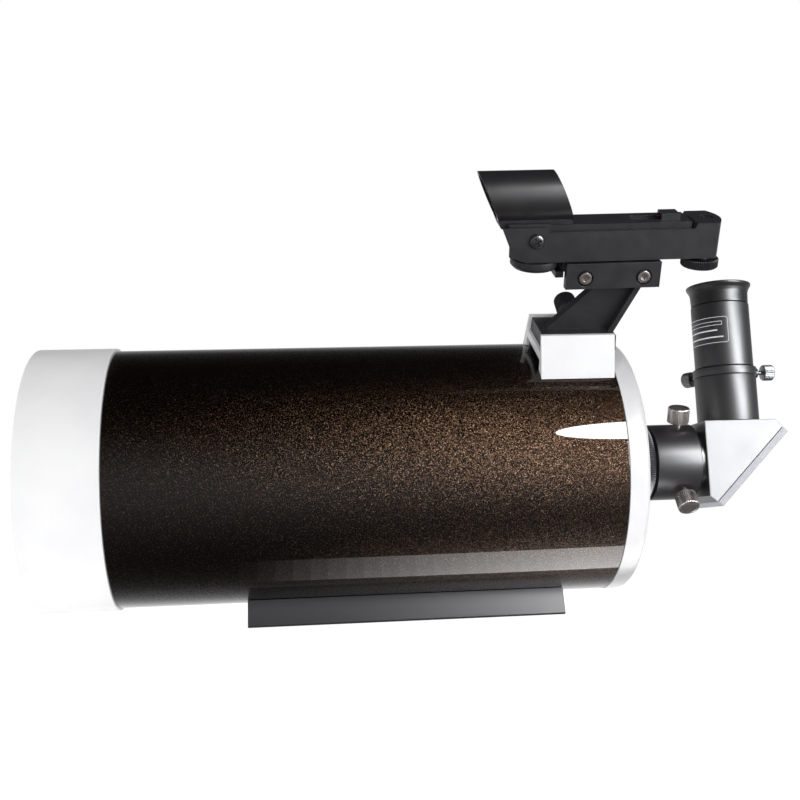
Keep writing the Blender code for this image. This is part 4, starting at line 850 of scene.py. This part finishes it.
def finder_carriage():
    base, block_front, block_rear = 0.1301, 0.1522, 0.1647
    side = [(0.0490, 0.1491), (0.0532, 0.1390), (0.0533, 0.1335), (0.0624, base), (block_rear + 0.01, base),
            (block_rear + 0.01, 0.1494), (block_front + 0.0010, 0.1494), (block_front - 0.0006, 0.1465),
            (0.0741, 0.1465), (0.0715, 0.1491)]
    trough = extrude(side, -0.0135, 0.0135)
    tail = []
    for i in range(21):
        across = i / 10 - 1
        tail.append((block_rear + 0.0039 * (1 - across**2), 0.0115 * across))
    plan = extrude([(0.0470, -0.0115), *tail, (0.0590, 0.0115)], 0.1200, 0.1600, "XY")
    trough = combine(trough, ("INTERSECT", plan))
    trough = cut(
        trough,
        block((0.0400, -0.0100, 0.1319), (0.1520, 0.0100, 0.1700)),
        block((0.1500, -0.0062, 0.1358), (0.1662, 0.0062, 0.1448)),
        drill(0.0018, 0.1280, 0.1510, (WHEEL_X, 0, 0)),
        drill(0.0041, 0.1482, 0.1510, (WHEEL_X, 0, 0)),
        drill(0.0021, -0.0200, 0.0200, (PITCH_X, 0, PITCH_Z), FAR),
        drill(0.0042, 0.0112, 0.0200, (PITCH_X, 0, PITCH_Z), NEAR),
    )
    soften(add(trough, "finder_carriage_skin", TIPPED, PLASTIC, CARRIAGE, ["finder_carriage"]), 0.0004, 3)
    place = TIPPED @ pointing((PITCH_X, -0.0124, PITCH_Z), NEAR) @ Matrix.Rotation(math.radians(28), 4, "Z")
    add(cross_head(0.0038, 0.0012), "pivot_screw_skin", place, SATIN, CARRIAGE, ["pivot_screw"], "nickel")


def finder_knobs():
    tray = [(0, 0.1240, 0), (0.0080, 0.1240), (0.0082, 0.1242), (0.0112, 0.1243, 0.0010),
            (0.0130, 0.1262, 0.0008), (0.0130, 0.1296), (0.0103, 0.1296), (0.0103, 0.1261), (0, 0.1261, 0)]
    mesh = lathe(tray, 0.0002, 3, 128)
    mesh = cut(mesh, block((-0.0060, -0.0008, 0.1230), (0.0060, 0.0008, 0.1248)))
    add(mesh, "battery_cover_skin", TIPPED @ Matrix.Translation((0.0694, 0, 0)), PLASTIC, "battery_cover",
        ["battery_cover"])
    wheel = [(0, 0.1222, 0), (0.0080, 0.1222, 0.0001), (0.0083, 0.1224, 0.0001), (0.0094, 0.1222, 0.0003),
             (0.0100, 0.1228, 0.0002), (0.0100, 0.1266, 0.0002), (0.0094, 0.1272, 0.0002), (0.0050, 0.1272),
             (0.0050, 0.1298), (0.0015, 0.1298), (0.0015, 0.1485), (0.0034, 0.1485), (0.0034, 0.1491, 0.0003),
             (0.0013, 0.1491, 0), (0.0013, 0.1486, 0), (0, 0.1486, 0)]
    mesh = lathe(wheel, 0.0002, 3, 480, knurl(60, 0.0006, 0.0100, 0.1226, 0.1268))
    add(mesh, "altitude_wheel_skin", TIPPED @ Matrix.Translation((WHEEL_X, 0, 0)), PLASTIC, "altitude_wheel",
        ["altitude_wheel"])
    knob = [(0, 0.0118, 0), (0.0062, 0.0118, 0.0003), (0.0062, 0.0145, 0.0004), (0.0058, 0.0150, 0.0003),
            (0, 0.0150, 0)]
    mesh = lathe(knob, 0.0003, 3, 192, knurl(24, 0.0004, 0.0062, 0.0124, 0.0146))
    mesh = cut(mesh, block((-0.0004, 0.0016, 0.0146), (0.0004, 0.0056, 0.0160)))
    add(mesh, "brightness_knob_skin", TIPPED @ pointing((0.1330, 0, 0.1388), FAR), PLASTIC,
        "brightness_knob", ["brightness_knob"])


# ------------------------------------------------------------------ finder body and hood

SIGHT = "finder_sight"
HOOD_Z, HOOD_R, HOOD_BORE = 0.1632, 0.0130, 0.0118
HOOD_FRONT, HOOD_LENGTH, HOOD_SLANT = 0.0370, 0.0401, math.radians(23.0)
LED_Z = 0.1506


def finder_body():
    body_top, base, rear = 0.1497, 0.1342, 0.1505
    bar = block((0.0740, -0.0090, base), (rear, 0.0090, body_top))
    neck = extrude([(0.0520, 0.1506), (0.0580, 0.1440), (0.0595, 0.1360), (0.0615, base + 0.0001),
                    (0.0752, base + 0.0001), (0.0752, 0.1506)], -0.0097, 0.0097)
    cradle = extrude([(0.0492, 0.1475), (0.0457, 0.1557), (0.0845, 0.1557), (0.0872, 0.1496),
                      (0.0745, 0.1496), (0.0742, 0.1475)], -0.0070, 0.0070)
    tongue = block((rear - 0.001, -0.0055, 0.1385), (0.1655, 0.0055, 0.1420))
    led_box = extrude([(0.1356, 0.1480), (0.1456, 0.1480), (0.1456, 0.1524), (0.1450, 0.1529),
                       (0.1356, 0.1529)], -0.0040, 0.0040)
    body = join(bar, neck, cradle, tongue, led_box)
    body = cut(
        body,
        drill(HOOD_R + 0.0001, 0.030, 0.110, (0, 0, HOOD_Z), (1, 0, 0), 128),
        block((0.1195, -0.0040, 0.1482), (0.1354, 0.0040, 0.1560)),
        drill(0.0016, 0.1340, 0.1400, (0, 0, LED_Z), (1, 0, 0)),
        drill(0.0018, 0.1300, 0.1500, (WHEEL_X, 0, 0)),
    )
    soften(add(body, "finder_body_skin", TIPPED, PLASTIC, SIGHT, ["finder_body"]), 0.0003)


def finder_hood():
    """A tube whose two ends are cut on parallel slants, the lens in it and the light behind it."""
    slope, segments, edge = math.tan(HOOD_SLANT), 160, 0.0003
    profile = [(HOOD_BORE, 0, edge), (HOOD_BORE + edge, 0, 0), (HOOD_R - edge, 0, 0), (HOOD_R, 0, edge),
               (HOOD_R, 1, -edge), (HOOD_R - edge, 1, 0), (HOOD_BORE + edge, 1, 0), (HOOD_BORE, 1, -edge)]
    rings = []
    for r, end, shift in profile:
        ring = []
        for i in range(segments):
            angle = math.tau * i / segments
            y, z = r * math.sin(angle), r * math.cos(angle)
            start = HOOD_FRONT + (HOOD_R - z) * slope
            ring.append((start + HOOD_LENGTH * end + shift, y, HOOD_Z + z))
        rings.append(ring)
    add(stitch(rings), "finder_hood_skin", TIPPED, SATIN, SIGHT, ["finder_hood"], "black_plastic")
    lens_r, steps = 0.0113, 12
    front = [(lens_r * i / steps, -0.0008 - 0.0004 * (1 - (i / steps) ** 2), 0) for i in range(steps + 1)]
    back = [(r, 0.0008 + 0.0002 * (1 - (r / lens_r) ** 2), 0) for r, _, _ in front]
    mesh = lathe(front + back[::-1], 0, 1, 96)
    lean = math.radians(5.0)
    place = TIPPED @ pointing((0.0620, 0, HOOD_Z), (math.cos(lean), 0, math.sin(lean)))
    add(mesh, "finder_lens_skin", place, GLASS, SIGHT, ["finder_lens"])
    led = [(0, 0.1336, 0), (0.0008, 0.1340, 0.0003), (0.0012, 0.1352), (0.0012, 0.1390), (0, 0.1390, 0)]
    mesh = lathe(led, 0.0002, 2, 32)
    add(mesh, "led_skin", TIPPED @ pointing((0, 0, LED_Z), (1, 0, 0)), RED, SIGHT, ["led_emitter"])


# ------------------------------------------------------------------ carried-over solids

CARRIED = {
    "mirror_carrier": METAL,
    "primary_mirror": MIRROR,
    "mirror_retaining_ring": FLAT_BLACK,
    "focus_rod": NICKEL,
    "nut_plate": NICKEL,
    "battery_cell": NICKEL,
    "altitude_spring": NICKEL,
}


def finish_carried_nodes():
    """The pieces inside keep their solids' shape and get a real finish."""
    for node, finish in CARRIED.items():
        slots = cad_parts[node].data.materials
        slots.clear()
        slots.append(finish.material)


# ------------------------------------------------------------------ stage, light and camera


def stage():
    """A wide pale floor that fades into the bright surroundings."""
    built = bmesh.new()
    bmesh.ops.create_grid(built, x_segments=4, y_segments=4, size=9.0)
    paint = Finish("floor_paint", None, (0.40, 0.40, 0.40), 0.8)
    paint.tint(3, (0.39, 0.39, 0.39), (0.41, 0.41, 0.41))
    paint.set("Emission Color", (1, 1, 1, 1))
    paint.set("Emission Strength", 0.94)
    floor = add(to_mesh(built), "floor", Matrix.Translation((0, 0, -0.0004)), paint)
    floor.visible_glossy = False


def area_light(name, location, target, size, power, gloss_only=False, colour=(1, 1, 1)):
    light = bpy.data.lights.new(name, "AREA")
    light.shape = "RECTANGLE"
    light.size, light.size_y = size
    light.energy = power
    light.color = colour
    obj = bpy.data.objects.new(name, light)
    obj.location = location
    obj.rotation_euler = (Vector(target) - Vector(location)).to_track_quat("-Z", "Y").to_euler()
    obj.visible_camera = False
    obj.visible_glossy = gloss_only
    obj.visible_diffuse = not gloss_only
    bpy.context.scene.collection.objects.link(obj)
    return obj


def surroundings():
    """Bright near the horizon and dark overhead, with a bright wall behind and a dim room in front."""
    world = bpy.data.worlds.new("studio")
    bpy.context.scene.world = world
    world.use_nodes = True
    nodes, link = world.node_tree.nodes, world.node_tree.links.new
    split = new_node(nodes, "SeparateXYZ")
    link(new_node(nodes, "TexCoord").outputs["Generated"], split.inputs["Vector"])
    lowered = new_node(nodes, "Math", {1: 0.20}, operation="ADD")
    link(split.outputs["Z"], lowered.inputs[0])
    height = new_node(nodes, "Math", operation="ABSOLUTE")
    link(lowered.outputs["Value"], height.inputs[0])
    greys = ((0.0, 1.0), (0.22, 0.90), (0.42, 0.56), (0.68, 0.22), (0.85, 0.05), (1.0, 0.03))
    ramp = new_ramp(nodes, [(position, (grey, grey, grey * 1.02)) for position, grey in greys])
    link(height.outputs["Value"], ramp.inputs["Fac"])
    back = new_node(nodes, "MapRange", {"From Min": 0.30, "From Max": 0.95, "To Min": 0.35, "To Max": 1.0},
                    interpolation_type="SMOOTHSTEP")
    link(split.outputs["Y"], back.inputs["Value"])
    shade = new_node(nodes, "Mix", {"Factor": 1.0}, data_type="RGBA", blend_type="MULTIPLY")
    link(ramp.outputs["Color"], shade.inputs["A"])
    link(back.outputs["Result"], shade.inputs["B"])
    # What the camera sees directly is plain white
    seen = new_node(nodes, "Mix", {"B": (1, 1, 1, 1)}, data_type="RGBA")
    link(new_node(nodes, "LightPath").outputs["Is Camera Ray"], seen.inputs["Factor"])
    link(shade.outputs["Result"], seen.inputs["A"])
    link(seen.outputs["Result"], nodes["Background"].inputs["Color"])
    nodes["Background"].inputs["Strength"].default_value = 1.0


def lights():
    middle = (0, 0, 0.1)
    area_light("fill_front", (-0.1, -1.6, 0.5), middle, (2.2, 1.4), 13.5)
    area_light("fill_top", (0.0, -0.2, 1.7), middle, (2.0, 2.0), 11)
    area_light("fill_back", (0.0, 1.6, 0.7), middle, (2.2, 1.4), 14)
    area_light("gloss_back", (0.0, 1.6, 0.7), middle, (2.2, 1.4), 8.5, gloss_only=True)
    area_light("fill_left", (-1.7, 0.0, 0.6), middle, (1.6, 1.4), 8)
    area_light("fill_right", (1.7, 0.0, 0.6), middle, (1.6, 1.4), 5)
    # Two boxes that only gloss sees: a broad low one, and a narrow high one that makes the paint's glint
    area_light("softbox", (0.672, -0.62, 0.15), (0.15, 0, 0.12), (0.43, 0.29), 9.6, True, (0.95, 0.97, 1.0))
    glint = area_light("strip_box", (0.467, -0.62, 0.385), (0.10, 0, 0.10), (0.27, 0.19), 3.8, True)
    glint.data.shape = "ELLIPSE"
    table_glow()


def table_glow():
    """The bright table edge that the paint mirrors low down, fading towards the sky end."""
    steps, near, far, right, strength = 20, -0.056, -0.030, 0.17, 6.5
    depth = far - near
    for i in range(steps):
        left, height = -0.094 + 0.010 * i, 0.0004 + 0.0002 * i
        x, y, length = (left + right) / 2, (near + far) / 2, right - left
        share = (i + 1) / (steps * (steps + 1) / 2)
        power = strength * share * math.pi * length * depth
        area_light(f"table_glow_{i}", (x, y, height), (x, y, 1.0), (length, depth), power, True)


def camera():
    data = bpy.data.cameras.new("camera")
    data.sensor_width = 36.0
    data.lens = 48.354
    obj = bpy.data.objects.new("camera", data)
    # The picture's right, up and into-the-picture directions
    right, up, ahead = (0.9945, -0.0978, -0.0368), (0.0233, -0.1356, 0.9905), (0.1018, 0.9859, 0.1326)
    rows = [(right[i], up[i], -ahead[i]) for i in range(3)]
    obj.matrix_world = Matrix.Translation((-0.06237, -0.62023, 0.04222)) @ Matrix(rows).to_4x4()
    bpy.context.scene.collection.objects.link(obj)
    bpy.context.scene.camera = obj


optical_tube()
rear_end()
star_diagonal()
eyepiece_holder()
eyepiece()
dovetail()
finder_shoe()
finder_bracket()
clamp()
finder_carriage()
finder_knobs()
finder_body()
finder_hood()
finish_carried_nodes()
stage()
surroundings()
lights()
camera()
bpy.context.scene.view_settings.view_transform = "Standard"
